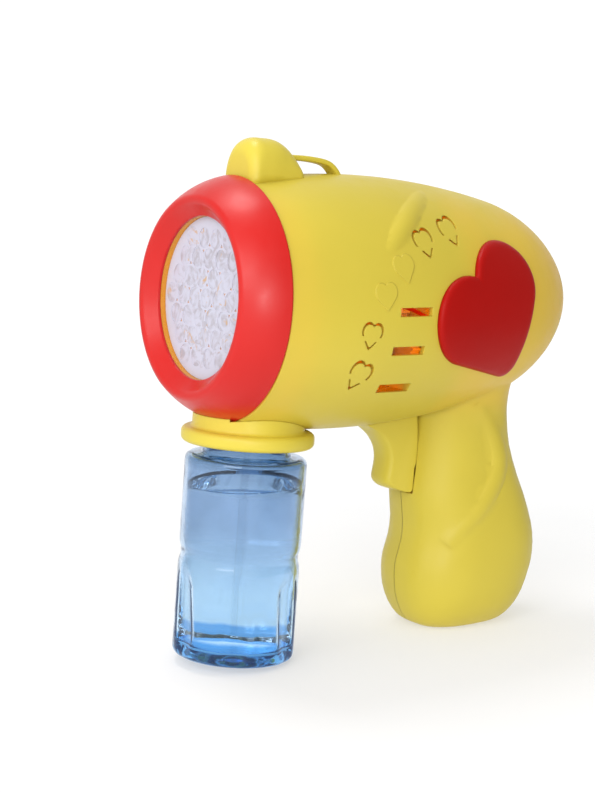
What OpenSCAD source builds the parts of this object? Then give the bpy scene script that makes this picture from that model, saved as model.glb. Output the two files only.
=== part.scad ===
// Hand-held bubble blower: two-piece housing, screw-on bottle, fan, gears, hose pump and three cells.
// Lengths are in millimetres. The mouth looks along -X, +Z is up, and it stands on bottle and grip.

/* [Barrel] */
// Height of the middle of the mouth above the bottle base
axis_z = 117.2; // [112:0.2:122]
// Largest radius of the barrel
barrel_r = 42; // [41:0.1:44]
// Distance from the mouth to the widest place
belly_s = 50; // [44:0.5:56]
// Radius of the long curve of the belly
belly_arc = 250; // [220:1:320]
// Distance from the mouth to the centre of the tail curve
tail_s = 96; // [92:0.2:99]
// Radius of the tail curve
tail_arc = 56.3; // [54:0.1:60]
// Radius of the ball end of the tail
tip_arc = 14; // [10:0.5:16]
// Upward slope of the barrel towards the tail, in degrees
pitch = 2.4; // [1:0.1:3]
// How far the barrel sits below the middle of the mouth where it meets the ring
barrel_drop = 1.4; // [0.8:0.1:1.6]
// Thickness of the housing walls
wall = 2; // [1.6:0.1:2.4]

/* [Mouth] */
// Inner radius of the lip of the ring at the mouth
mouth_r = 26; // [25.4:0.1:26.6]
// Depth of the ring from the mouth to its border with the barrel
border_s = 10.9; // [10:0.1:12]
// How far the crest of the ring stands in front of the mouth
crest_out = 3.4; // [2.6:0.1:4]
// Radius of the crest circle of the ring
crest_r = 31; // [30:0.1:32]
// Thickness of the nozzle tube
tube_wall = 1.4; // [1.2:0.1:1.8]
// Length of the nozzle tube
tube_len = 42.4; // [40:0.1:43]
// Depth of the bubble disc behind the mouth
disc_s = 3.4; // [3:0.1:5]
// Thickness of the bubble disc
disc_t = 3.2; // [2.4:0.1:3.6]
// Pitch of the small rings in the disc
ring_pitch = 7.3; // [7:0.1:7.6]
// Wall of the small rings
ring_wall = 0.9; // [0.7:0.05:1.2]
// Size of the small gaps where three rings meet
ring_gap = 0.75; // [0.5:0.05:0.9]

/* [Grip] */
// Half width of the grip at its thickest place
grip_b = 20.5; // [19.8:0.1:21.5]
// Half length of the grip at its thickest place
grip_a = 27.3; // [26.8:0.1:27.8]
// Exponent of the rounded cross-section
grip_n = 2.5; // [2.2:0.05:2.9]
// Height of the grip base above the bottle base, which makes the blower lean when it stands
foot_z = 6; // [4:0.1:8]
// How far the soft crease of the grip and the ridge of the barrel stand proud
crease = 1; // [0.5:0.05:1.4]
// Radius of the soft crease and ridge
crease_r = 7; // [5:0.5:9]

/* [Ornament] */
// Side of the square in the small hearts
heart_q = 5.8; // [5:0.1:6.4]
// Width of the cut heart outlines
heart_slot = 0.8; // [0.6:0.05:1.1]
// Length of the vent slots
vent_len = 12.6; // [10:0.2:14]
// Height of the vent slots
vent_h = 2.8; // [2:0.1:3.4]
// Side of the square in the big heart badge
badge_q = 30.1; // [27:0.1:31]
// Rounding of the tip of the badge
badge_tip = 5; // [3:0.1:7]
// How far the badge stands proud
badge_t = 2.2; // [1.4:0.1:2.6]

/* [Fin] */
// Height of the fin above the barrel
fin_h = 12.4; // [9:0.1:15]
// Thickness of the fin
fin_w = 17.2; // [14:0.1:19]
// Width of the strap loop
loop_w = 6.2; // [5:0.1:8]

/* [Bottle] */
// Distance from the mouth to the bottle axis
bottle_s = 22.75; // [22:0.05:23.5]
// Outer radius of the bottle
bottle_r = 20; // [18.5:0.1:21]
// Gap between the bottle shoulder and the collar
shoulder_gap = 3.4; // [2.8:0.1:4]
// Outer radius of the bottle neck
neck_r = 14.4; // [13.5:0.1:14.8]
// Radius of the hollow panels near the foot of the bottle
panel_r = 26; // [20:0.5:32]
// Depth of the hollow panels
panel_d = 1.3; // [0.8:0.1:1.6]
// Wall of the bottle
bottle_wall = 1.3; // [1.1:0.05:1.6]
// Height of the barrel above the collar underside
collar_drop = 5.5; // [5:0.05:6]
// Radius of the collar flange
flange_r = 21.8; // [20.5:0.1:22.5]
// Radius of the collar above its flange
collar_r = 18.4; // [18:0.1:19]

/* [Drive] */
// Module of the gears
gear_m = 0.7; // [0.66:0.01:0.72]
// Teeth of the small gears
teeth_small = 12; // [11:1:13]
// Teeth of the big gears
teeth_big = 34; // [32:1:34]
// Extra centre distance of the gears
mesh_gap = 0.12; // [0.08:0.01:0.2]
// Radius of the motor can
motor_r = 10; // [9.6:0.1:10]
// Length of the motor can
motor_len = 25; // [24:0.2:25]
// Radius of the motor shaft
shaft_r = 1; // [0.8:0.05:1.1]
// Radius of the fan
fan_r = 24; // [22:0.1:24.4]
// Number of fan blades
fan_blades = 7; // [5:1:9]
// Radius of the pump axle
axle_r = 1.5; // [1.3:0.05:1.7]
// Running clearance of shafts in their bores
run_fit = 0.1; // [0.06:0.01:0.1]
// Radius of the hose
hose_r = 2; // [1.7:0.05:2]
// Radius of the pump track
track_r = 18; // [18:0.1:18.6]
// Radius of the pump rollers
roller_r = 4; // [3.6:0.05:4]

/* [Trigger] */
// Width of the trigger
trigger_w = 10; // [9:0.1:10.6]
// Clearance beside the trigger
trigger_gap = 0.7; // [0.5:0.05:0.9]
// Radius of the trigger pin
pin_r = 1.5; // [1.3:0.05:1.7]

/* [Cells] */
// Radius of one cell
cell_r = 7.25; // [7.1:0.05:7.25]
// Length of one cell without its cap
cell_len = 49.5; // [48.5:0.1:49.5]
// Pitch of the cells along the grip
cell_pitch = 11; // [10.8:0.05:11.3]
// Lean of the cells with the grip in degrees
cell_lean = 6.2; // [6:0.1:6.5]

/* [Screws] */
// Radius of the screw shanks
screw_r = 1.3; // [1.1:0.05:1.4]
// Radius of the screw heads
head_r = 2.7; // [2.4:0.05:2.8]
// Radius of the screw bosses
boss_r = 4; // [3.8:0.05:4]

/* [Hidden] */
$fn = 64;

// Barrel outline: three circles, each touching the next from inside
belly_c = barrel_r - belly_arc;
tail_c = belly_c + sqrt(pow(belly_arc - tail_arc, 2) - pow(tail_s - belly_s, 2));
tip_s = tail_s + sqrt(pow(tail_arc - tip_arc, 2) - tail_c*tail_c);
tail_start = belly_s + (tail_s - belly_s)*belly_arc/(belly_arc - tail_arc);
tip_start = tail_s + (tip_s - tail_s)*tail_arc/(tail_arc - tip_arc);
end_s = tip_s + tip_arc;
border_r = sqrt(pow(belly_arc, 2) - pow(border_s - belly_s, 2)) + belly_c;
// Top and underside of the barrel above the bottle
bottle_r_at = sqrt(pow(belly_arc, 2) - pow(bottle_s - belly_s, 2)) + belly_c;
barrel_mid = axis_z - barrel_drop + (bottle_s - border_s)*sin(pitch);
collar_z = barrel_mid - bottle_r_at - collar_drop;
shoulder_z = collar_z - shoulder_gap;
bottle_top = collar_z + 5.1;
collar_top = bottle_top + 1;
fin_top = barrel_mid + bottle_r_at + fin_h;
// It leans until the rear edge of the bottle base and the grip base both touch the table
foot_s = 115;
edge_r = 2.4;
edge_s = bottle_s + bottle_r - edge_r;
stand = atan2(foot_z - edge_r, foot_s - edge_s) + asin(edge_r/norm([foot_s - edge_s, foot_z - edge_r]));
place_z = foot_s*sin(stand) - foot_z*cos(stand);
front_x = (bottle_s - bottle_r + edge_r)*cos(stand) + edge_r*sin(stand) - edge_r;
tail_x = (border_s + (tip_s - border_s)*cos(pitch))*cos(stand)
  + (axis_z - barrel_drop + (tip_s - border_s)*sin(pitch))*sin(stand) + tip_arc;
place_x = -(front_x + tail_x)/2;

tube_r = mouth_r + tube_wall;
tube_in = tube_r - tube_wall;
tube_s = 1.6;
tube_end = tube_s + tube_len;
sleeve_r = tube_r + 2;
ring_back = border_r + 0.6;
fan_s = tube_end - 8;
motor_s = tube_end + 2.8;
motor_end = motor_s + motor_len;
drive_s = motor_end + 5.6;
pump_s = drive_s + 10.6;
pump_floor = 2;
pump_end = pump_s + 11.2;
hose_s = pump_s + 7;
gear_d = gear_m*(teeth_small + teeth_big)/2 + mesh_gap;
idler_z = axis_z - gear_d;
hose_ring = track_r - hose_r - 0.1;
roller_ring = hose_ring - hose_r - 0.4 - roller_r;
drip_s = disc_s + disc_t + 4;
drip_z = axis_z - 28.8;
pivot = [90, axis_z - 29.2];
slot_w = trigger_w/2 + trigger_gap;
screws = [[38.6, axis_z + 32.8], [98, axis_z + 30.8], [131, axis_z - 5.2], [62, axis_z - 21.2],
  [119.4, 79], [135.4, 31]];
head_y = 9;
door_s = [100, 128.4];
cradle_at = [114.4, 10.8];
cell_y = sqrt(pow(2*cell_r + 0.1, 2) - cell_pitch*cell_pitch)/2;
cell_w = 2.4;
cell_spots = [[-cell_pitch, cell_y], [0, -cell_y], [cell_pitch, cell_y]];
cell_top = cell_w + cell_len + 1;
fin_tongue = [17, 13, 3];
door_screw_at = [112, cradle_at[1] + cell_top + 4.7];
door_z = [17, door_screw_at[1] + 4.2];
switch_at = [97, cradle_at[1] + cell_top + 7.3];
plunger_r = 1.7;
plunger_gap = 0.6;
trigger_back = [[91, 72], [93.4, 84]];
trigger_draft = (trigger_back[1][0] - trigger_back[0][0])/(trigger_back[1][1] - trigger_back[0][1]);
plunger_s = trigger_back[0][0] + trigger_draft*(switch_at[1] - trigger_back[0][1]) + plunger_gap;

// Grip sections: height, middle, half length, half width
grip_rows = [
  [foot_z, 114.9, grip_a - 11.3, grip_b - 10],
  [foot_z + 0.8, 114.4, grip_a - 9.9, grip_b - 7.7],
  [foot_z + 2.6, 113.8, grip_a - 7, grip_b - 5.5],
  [12.9, 113.4, grip_a - 4.1, grip_b - 2.3],
  [17.9, 113.4, grip_a - 1.9, grip_b - 0.6],
  [23.5, 113.7, grip_a - 0.6, grip_b],
  [28.5, 114.3, grip_a, grip_b],
  [35, 115.2, grip_a - 0.7, grip_b - 0.4],
  [42, 114.6, grip_a - 1.5, grip_b - 1],
  [51.8, 111.7, grip_a - 2.6, grip_b - 2],
  [59.5, 109.9, grip_a - 4.9, grip_b - 2.9],
  [69.8, 107.7, grip_a - 7.3, grip_b - 3.5],
  [78.3, 106.2, grip_a - 7.9, grip_b - 3.3],
  [84, 105.3, grip_a - 8.3, grip_b - 2.3],
  [90, 104.6, grip_a - 8.4, grip_b - 0.5],
  [96, 104.2, grip_a - 8.1, grip_b + 2],
  [102, 104, grip_a - 7.7, grip_b + 3.5]];
// Lines of the crease on the grip and of the ridge on the barrel, seen from the side
crease_line = [[102.6, 87], [108.7, 79.8], [112.7, 72.7], [115.2, 66.3], [114.9, 60.4], [112.6, 54.7],
  [108.8, 48.6], [103.9, 42.5], [99.4, 35.6]];
ridge_line = [[79, 39], [70.2, 35.7], [61.6, 30.8], [55.1, 26], [50, 21.8], [45.4, 18]];

// Hearts on the side, in the slope of the barrel: along, up, turn, scale
cut_hearts = [[39.2, -7.4, -7, 1], [37.8, -20.4, -20, 1.1], [62.4, 20.9, 12, 1.05], [75, 24.5, 16, 1.05]];
raised_hearts = [[44, 4.8, 4, 1], [51.9, 13.3, 10, 1]];
vents = [[55.8, 0.4], [54.4, -12], [53.8, -24.6]];
badge_at = [92.7, -6.6];
badge_turn = 33.7;

function ramp(p, q, r, s, t) = 0.5*(2*q + (r - p)*t + (2*p - 5*q + 4*r - s)*t*t
  + (3*q - p - 3*r + s)*t*t*t);
function row(rows, i) = rows[max(0, min(len(rows) - 1, i))];
function smooth_rows(rows, k) = [for (i = [0:len(rows) - 2]) for (j = [0:k - 1])
  ramp(row(rows, i - 1), rows[i], rows[i + 1], row(rows, i + 2), j/k), rows[len(rows) - 1]];
function sgn_pow(v, p) = sign(v)*pow(abs(v), p);
// Half of a grip section, carried past the middle plane by the given amount
function half_ring(r, g, n, over) = [for (i = [0:n]) let (t = 180*i/n)
  [r[1] + (r[2] + g)*sgn_pow(cos(t), 2/grip_n),
    i == 0 || i == n ? -over : (r[3] + g)*pow(sin(t), 2/grip_n),
    r[0] + tan(stand)*max(0, 1 - (r[0] - foot_z)/25)
      *(r[1] + (r[2] + g)*sgn_pow(cos(t), 2/grip_n) - foot_s)]];
function grip_row(z, k) = lookup(z, [for (r = grip_rows) [r[0], r[k]]]);
function grip_side(s, z) = grip_row(z, 3)*pow(max(0, 1 - pow(min(1, abs(s - grip_row(z, 1))/grip_row(z, 2)),
  grip_n)), 1/grip_n);
function barrel_side(s, q) = sqrt(pow(sqrt(pow(belly_arc, 2) - pow(s - belly_s, 2)) + belly_c, 2) - q*q);
// How far a bead of radius r is sunk along its line, so that it fades at both ends
function sink(i, n, r) = r - crease*(1.25*sin(180*i/n) - 0.25);
function arc(c, r, a0, a1, n) = [for (i = [0:n]) let (a = a0 + (a1 - a0)*i/n)
  [c[0] + r*cos(a), c[1] + r*sin(a)]];
function unit(v) = v/norm(v);
function flat(l) = [for (a = l) for (b = a) b];

// Everything is drawn with X measured back from the mouth and the bottle upright, then stood on the table
module place() {
  translate([place_x, 0, place_z]) rotate([0, stand, 0]) children();
}

// Turns a drawing of depth and radius about the axis of the mouth
module spin_x(a = 360) {
  translate([0, 0, axis_z]) rotate([0, 90, 0]) rotate_extrude(angle = a, $fn = 96)
    mirror([1, 0, 0]) rotate(90) children();
}

module rod_x(r, s0, s1, y = 0, z = axis_z) {
  translate([s0, y, z]) rotate([0, 90, 0]) cylinder(r = r, h = s1 - s0);
}

module rod_y(r, y0, y1, s, z) {
  translate([s, y0, z]) rotate([-90, 0, 0]) cylinder(r = r, h = y1 - y0);
}

// Frame of the sloping barrel
module slope() {
  translate([border_s, 0, axis_z - barrel_drop]) rotate([0, -pitch, 0])
    translate([-border_s, 0, 0]) children();
}

module barrel_outline(g, s0) {
  intersection() {
    translate([belly_s, belly_c]) circle(r = belly_arc + g, $fn = 200);
    translate([s0, 0]) square([tail_start - s0, barrel_r + g + 1]);
  }
  intersection() {
    translate([tail_s, tail_c]) circle(r = tail_arc + g, $fn = 200);
    translate([tail_start - 4, 0]) square([tip_start - tail_start + 4, barrel_r + g + 1]);
  }
  intersection() {
    translate([tip_s, 0]) circle(r = tip_arc + g);
    translate([tip_start - 3, 0]) square([tip_arc + g + 20, barrel_r]);
  }
}

// The +Y half of the barrel, grown by g
module half_barrel(g, s0, a = 180) {
  slope() rotate([0, 90, 0]) rotate_extrude(angle = a, $fn = 96)
    mirror([1, 0, 0]) rotate(90) barrel_outline(g, s0);
}

// The +Y half of the grip, grown by g, with its floor lifted
module half_grip(g, lift = 0, over = 0, n = 16, k = 2) {
  rows = smooth_rows(grip_rows, k);
  m = len(rows);
  w = n + 1;
  pts = flat([for (r = rows) let (z = max(r[0], foot_z + lift + (r[0] - foot_z)*0.1))
    half_ring([z, r[1], r[2], r[3]], g, n, over)]);
  polyhedron(pts, concat(
    [[for (i = [0:n]) i]],
    [[for (i = [n:-1:0]) (m - 1)*w + i]],
    [for (j = [0:m - 2]) for (i = [0:n - 1]) [j*w + i, (j + 1)*w + i, j*w + i + 1]],
    [for (j = [0:m - 2]) for (i = [0:n - 1]) [j*w + i + 1, (j + 1)*w + i, (j + 1)*w + i + 1]],
    [for (j = [0:m - 2]) [j*w + n, (j + 1)*w + n, (j + 1)*w, j*w]]));
}

// A heart as one closed line: rounded tip, straight flanks and two round lobes, narrowed by w
function heart_line(q, r, w) = let (d = q*sqrt(2)/4) [for (p = concat(
    arc([0, (r - q/2)*sqrt(2)], r, 225, 315, 8),
    arc([d, d], q/2, -45, 134, 16),
    arc([-d, d], q/2, 45, 225, 16))) [w*p[0], p[1]]];

module heart(q, y = 0) {
  translate([0, y]) polygon(heart_line(q, 0.12*q, 0.82));
}

module heart_outline() {
  difference() {
    heart(heart_q);
    heart(heart_q - 1.4*heart_slot, 0.14*heart_slot);
    translate([-heart_q, -0.2*heart_q]) square([2*heart_q, 0.26*heart_q]);
  }
}

// Pushes a drawing of the side view through the +Y wall
module through_side(y0 = 10, y1 = 60) {
  translate([0, y1, 0]) rotate([90, 0, 0]) linear_extrude(y1 - y0) children();
}

module at_heart(h) {
  translate([h[0], h[1]]) rotate(h[2]) scale(h[3]) children();
}

// Half of the closed outer form of the housing
module half_form() {
  half_barrel(0, border_s - 4);
  half_grip(0);
}

// A coarse form inside the walls, to end ribs and bosses in them
module half_core() {
  half_barrel(-wall/2, border_s);
  half_grip(-wall/2, 0, 0, 10, 1);
}

// Raised marks that follow the curve of the side
module half_marks() {
  r = crease_r;
  intersection() {
    slope() through_side() for (h = raised_hearts) at_heart(h) heart(heart_q);
    half_barrel(0.3, border_s);
  }
  slope() sweep([for (i = [0:len(ridge_line) - 1]) let (p = ridge_line[i], y = barrel_side(p[0], p[1]),
    d = sink(i, len(ridge_line) - 1, r)/barrel_side(p[0], 0)) [p[0], y*(1 - d), p[1]*(1 - d)]], r, 3, 32);
  sweep([for (i = [0:len(crease_line) - 1]) let (p = crease_line[i])
    [p[0], grip_side(p[0], p[1]) - sink(i, len(crease_line) - 1, r), p[1]]], r, 2, 32);
}

module ring_rib(r, s0, s1, low) {
  intersection() {
    difference() {
      rod_x(barrel_r + 6, s0, s1);
      rod_x(r, s0 - 1, s1 + 1);
      translate([s0 - 1, -60, 0]) cube([s1 - s0 + 2, 120, axis_z + low]);
      translate([s0 - 1, -60, 0]) cube([s1 - s0 + 2, 60, 200]);
    }
    half_barrel(-wall/2, border_s);
  }
}

// One half of the housing on the +Y side, without its screw holes
module half_shell(marked) {
  difference() {
    union() {
      difference() {
        difference() {
          union() {
            half_form();
            if (marked) half_marks();
          }
          half_barrel(-wall, border_s - 8, 360);
        }
        half_grip(-wall, wall, 1);
      }
      ring_rib(tube_r + 0.2, tube_end - 11, tube_end - 9, -20);
      ring_rib(28.7, tube_end + 0.6, tube_end + 2.6, -20);
      ring_rib(track_r + 2.2, pump_s + 2, pump_s + 4, 0);
      intersection() {
        union() {
          for (p = screws) rod_y(boss_r, 0, 40, p[0], p[1]);
          rod_y(pin_r + 2, slot_w + 0.3, 40, pivot[0], pivot[1]);
        }
        half_core();
      }
    }
    slope() through_side() {
      for (v = vents) translate([v[0] - vent_len/2, v[1] - vent_h/2]) square([vent_len, vent_h]);
      if (marked) for (h = cut_hearts) at_heart(h) heart_outline();
    }
    // Flat end at the border with the ring
    translate([-50, -50, 0]) cube([50 + border_s, 150, 250]);
    // Seat of the bottle collar
    translate([bottle_s, 0, 60]) cylinder(r = collar_r - 2.3, h = 30);
    // Slot of the trigger
    translate([70.4, -1, 52.6]) cube([22.6, slot_w + 1, 40]);
    rod_y(pin_r + 0.02, -1, slot_w + 5, pivot[0], pivot[1]);
    // Seat of the fin
    translate([fin_tongue[0] - 0.2, -1, axis_z + 25]) cube([fin_tongue[1] + 0.4, fin_tongue[2] + 1.2, 30]);
  }
}

module left_housing() {
  color("gold") place() {
    mirror([0, 1, 0]) difference() {
      half_shell(true);
      for (p = screws) rod_y(screw_r + 0.02, -1, 7, p[0], p[1]);
    }
    // Shelf of the switch
    intersection() {
      translate([98, -30, switch_at[1] - 3]) cube([6, 30 - 4.1, 6]);
      mirror([0, 1, 0]) half_grip(-wall/2, 0, 0, 10, 1);
    }
  }
}

module door_area(g) {
  through_side(4, 40) difference() {
    translate([door_s[0] - g, door_z[0] - g])
      square([door_s[1] - door_s[0] + 2*g, door_z[1] - door_z[0] + 2*g]);
  }
}

module right_housing() {
  color("gold") place() difference() {
    half_shell(false);
    for (p = screws) {
      rod_y(screw_r + 0.2, -1, 40, p[0], p[1]);
      rod_y(head_r + 0.25, head_y, 60, p[0], p[1]);
    }
    door_area(0.3);
  }
}

// Outer line of the ring, grown by g: crest, bulging flank and rounded back edge
function ring_line(g) = let (c = [2.2 - crest_out, crest_r], a = c + 2.2*[cos(125), sin(125)],
    b = [border_s - 0.6, ring_back - 0.1], n = unit([a[1] - b[1], b[0] - a[0]]))
  concat(
    arc(c, 2.2 + g, 235, 125, 8),
    [for (i = [1:8]) let (k = i/8) a + (b - a)*k + n*(g + 3.6*k*(1 - k))],
    [[border_s, ring_back - 0.6 + g]]);

module front_bezel() {
  tongue_r = border_r - wall - barrel_drop - 0.3;
  tongue_in = max(tongue_r - 1.8, sleeve_r + 0.4);
  color("red") place() spin_x() polygon(concat(
    [[border_s - 2.4, tube_r + 0.2], [tube_s - 0.1, tube_r + 0.2], [tube_s - 0.1, mouth_r], [0.6, mouth_r]],
    ring_line(0),
    [[border_s, tongue_r], [border_s + 4, tongue_r], [border_s + 4, tongue_in], [3.6, tongue_in],
      [2.6, sleeve_r], [border_s - 2.4, sleeve_r]]));
}

module nozzle_tube() {
  color("orange") place() difference() {
    spin_x() polygon([[tube_s, tube_in], [tube_s, tube_r], [tube_end, tube_r], [tube_end, tube_in],
      [disc_s + disc_t + 1.8, tube_in], [disc_s + disc_t + 1.8, tube_in - 1.6],
      [disc_s + disc_t, tube_in - 1.6], [disc_s + disc_t, tube_in]]);
    translate([drip_s, 0, axis_z - tube_r - 2]) cylinder(r = 1.9, h = 6);
  }
}

function in_pattern(i, j, n) = max(abs(i), abs(j), abs(i + j)) <= n;

module bubble_disc() {
  n = 3;
  r_in = ring_pitch/2 - ring_wall/2;
  color("white") place() translate([disc_s, 0, axis_z]) rotate([0, 90, 0]) difference() {
    cylinder(r = tube_in - 0.1, h = disc_t);
    for (i = [-n:n]) for (j = [max(-n, -n - i):min(n, n - i)])
      translate([ring_pitch*sqrt(3)/2*i, ring_pitch*(j + i/2), -1])
        cylinder(r = r_in, h = disc_t + 2, $fn = 24);
    // Small gaps where three rings meet
    for (i = [-n:n]) for (j = [max(-n, -n - i):min(n, n - i)]) for (k = [-1, 1])
      if (in_pattern(i + k, j, n) && in_pattern(i, j + k, n))
        translate([ring_pitch*sqrt(3)/2*(i + k/3), ring_pitch*(j + i/2 + k/2), -1])
          rotate(90 + 90*k) cylinder(r = ring_gap, h = disc_t + 2, $fn = 3);
  }
}

module drip_ring() {
  color("white") place() {
    difference() {
      spin_x() polygon([[drip_s - 1.3, tube_in - 2.6], [drip_s - 1.3, tube_in - 0.3],
        [drip_s + 1.3, tube_in - 0.3], [drip_s + 1.3, tube_in - 2.6]]);
      for (k = [30:30:330]) translate([drip_s - 2, 0, axis_z]) rotate([k, 0, 0])
        translate([0, 0, -tube_in + 1.5]) rotate([0, 90, 0]) cylinder(r = 0.5, h = 2, $fn = 16);
    }
    translate([drip_s, 0, drip_z]) cylinder(r = 1.6, h = axis_z - tube_in + 1 - drip_z);
  }
}

module bottle_collar() {
  color("gold") place() {
    // Flange and neck, ending in a saddle under the barrel and the ring
    difference() {
      translate([bottle_s, 0, 0]) rotate_extrude($fn = 96) polygon(concat(
        [[collar_r - 2.6, collar_z], [flange_r - 1.8, collar_z]],
        arc([flange_r - 1.8, collar_z + 1.8], 1.8, -90, 0, 5),
        arc([flange_r - 1.8, collar_z + 3.2], 1.8, 0, 90, 5),
        arc([collar_r + 1, collar_z + 6], 1, 270, 180, 4),
        [[collar_r, collar_z + 14], [collar_r - 2.6, collar_z + 14]]));
      half_barrel(0.05, border_s - 4);
      mirror([0, 1, 0]) half_barrel(0.05, border_s - 4);
      spin_x() polygon(concat([[border_s + 0.6, 0], [-crest_out - 1, 0], [-crest_out - 1, crest_r]],
        ring_line(0.05), [[border_s + 0.6, ring_back - 0.5]]));
    }
    // Cup for the neck, with the stub for the hose
    translate([bottle_s, 0, 0]) rotate_extrude($fn = 96) polygon([
      [neck_r + 0.6, collar_z], [collar_r - 2.5, collar_z], [collar_r - 2.5, collar_top + 1.2],
      [2.8, collar_top + 1.2], [2.8, collar_top + 5], [1.6, collar_top + 5], [1.6, collar_top],
      [neck_r + 0.6, collar_top]]);
  }
}

module neck_gasket() {
  color("dimgray") place() translate([bottle_s, 0, bottle_top]) difference() {
    cylinder(r = neck_r - 0.4, h = collar_top - bottle_top - 0.05);
    translate([0, 0, -1]) cylinder(r = neck_r - bottle_wall - 1.4, h = 4);
  }
}

module bottle() {
  t = bottle_wall;
  r = bottle_r;
  color("steelblue", 0.5) place() translate([bottle_s, 0, 0]) difference() {
    rotate_extrude($fn = 96) polygon(concat(
      [[0, 3.4], [r*0.5, 3]],
      [[r - 5, 0]],
      arc([r - edge_r, edge_r], edge_r, -90, 0, 5),
      [[r, 30], [r - 0.7, 33], [r - 0.7, 35], [r, 38.5]],
      arc([r - 4, shoulder_z - 4], 4, 0, 90, 6),
      [[neck_r + 0.8, shoulder_z], [neck_r, shoulder_z + 0.8], [neck_r, bottle_top],
        [neck_r - t, bottle_top], [neck_r - t, shoulder_z - t]],
      arc([r - 4, shoulder_z - 4], 4 - t, 90, 0, 6),
      [[r - t, 40], [r - t - 1.2, 36], [r - t - 1.2, 5.4],
        [r - t - 3, 2.6 + t], [r*0.5, 3 + t], [0, 3.4 + t]]));
    // Slanted hollow panels near the foot
    for (k = [0:60:300]) rotate(k) translate([r + panel_r - panel_d, 0, 8.4]) rotate([14, 0, 0]) {
      cylinder(r = panel_r, h = 14);
      sphere(r = panel_r);
      translate([0, 0, 14]) sphere(r = panel_r);
    }
  }
}

module dip_tube() {
  color("white", 0.6) place() translate([bottle_s, 0, 7]) difference() {
    cylinder(r = 1.55, h = collar_top + 4.8 - 7, $fn = 32);
    translate([0, 0, -1]) cylinder(r = 0.9, h = 90, $fn = 32);
  }
}

module top_fin() {
  w = fin_w/2;
  color("gold") place() difference() {
    union() {
      // Rounded in side view, in plan and from the front
      intersection() {
        translate([0, w, fin_top]) rotate([90, 0, 0]) linear_extrude(fin_w) polygon(concat(
          [[13.4, -fin_h - 7]],
          arc([19.8, -6.4], 6.4, 180, 90, 9),
          arc([22, -6], 6, 90, 62, 4),
          [[27.6, -2.9], [29.8, -5], [31.1, -7], [31.8, -9.4], [32.6, -fin_h - 7]]));
        translate([0, 0, fin_top - fin_h - 8]) linear_extrude(fin_h + 9) polygon(concat(
          arc([18, 4.6 - w], 4.6, 270, 180, 8), arc([18, w - 4.6], 4.6, 180, 90, 8),
          arc([31.6, w - 2], 2, 90, 0, 4), arc([31.6, 2 - w], 2, 0, -90, 4)));
        translate([12, 0, fin_top]) rotate([90, 0, 90]) linear_extrude(24) polygon(concat(
          [[w, -fin_h - 8]],
          [for (i = [0:18]) let (a = 10*i) [w*sgn_pow(cos(a), 0.72), 7*pow(sin(a), 0.72) - 7]],
          [[-w, -fin_h - 8]]));
      }
      // Strap loop
      translate([0, loop_w/2, fin_top]) rotate([90, 0, 0]) linear_extrude(loop_w) polygon(concat(
        [[29, -4.6]],
        arc([43.2, -7.6], 3.6, 90, 38, 5),
        [[51.6, -12], [51.6, -19], [46.8, -19], [46.8, -11.4]],
        arc([42, -7.9], 1.4, 35, 90, 4),
        [[29, -6.5]]));
      translate([fin_tongue[0], -fin_tongue[2], axis_z + 32]) cube([fin_tongue[1], 2*fin_tongue[2], 12]);
    }
    difference() {
      union() {
        half_barrel(0.03, border_s - 0.5);
        mirror([0, 1, 0]) half_barrel(0.03, border_s - 0.5);
      }
      translate([fin_tongue[0], -fin_tongue[2], axis_z + 30]) cube([fin_tongue[1], 2*fin_tongue[2], 30]);
    }
    spin_x() polygon(concat([[border_s + 0.1, 0], [-crest_out - 1, 0], [-crest_out - 1, crest_r]],
      ring_line(0.05), [[border_s + 0.1, ring_back - 0.6]]));
  }
}

module heart_badge() {
  color("firebrick") place() mirror([0, 1, 0]) difference() {
    intersection() {
      slope() through_side() at_heart([badge_at[0], badge_at[1], badge_turn, 1])
        polygon(heart_line(badge_q, badge_tip, 0.93));
      half_barrel(badge_t, border_s);
    }
    half_barrel(0.04, border_s);
  }
}

module motor_can() {
  color("silver") place() difference() {
    union() {
      intersection() {
        rod_x(motor_r, motor_s, motor_s + motor_len);
        translate([motor_s - 1, -motor_r - 1, axis_z - 7.5]) cube([motor_len + 2, 2*motor_r + 2, 15]);
      }
      rod_x(3, motor_s - 1.4, motor_s + 1);
    }
    rod_x(shaft_r + run_fit, motor_s - 5, motor_s + motor_len + 1);
  }
}

module motor_cap() {
  color("white") place() difference() {
    union() {
      intersection() {
        rod_x(motor_r - 0.3, motor_s + motor_len, motor_s + motor_len + 2.4);
        translate([motor_s, -motor_r - 1, axis_z - 7.3]) cube([motor_len + 5, 2*motor_r + 2, 14.6]);
      }
      rod_x(3, motor_s + motor_len, motor_s + motor_len + 3.4);
    }
    rod_x(shaft_r + run_fit, motor_s, motor_s + motor_len + 9);
  }
}

module motor_shaft() {
  color("silver") place() rod_x(shaft_r, fan_s - 0.5, drive_s + 4.6);
}

module fan() {
  color("white") place() difference() {
    union() {
      rod_x(5, fan_s, fan_s + 6.6);
      intersection() {
        for (k = [0:fan_blades - 1]) translate([fan_s + 3.3, 0, axis_z]) rotate([k*360/fan_blades, 0, 0])
          translate([0, 0, 3]) rotate([0, 0, 38]) translate([-0.6, -5, 0]) cube([1.2, 10, 24]);
        rod_x(fan_r, fan_s + 0.1, fan_s + 6.5);
      }
    }
    rod_x(shaft_r + 0.01, fan_s - 1, fan_s + 8);
  }
}

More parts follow.
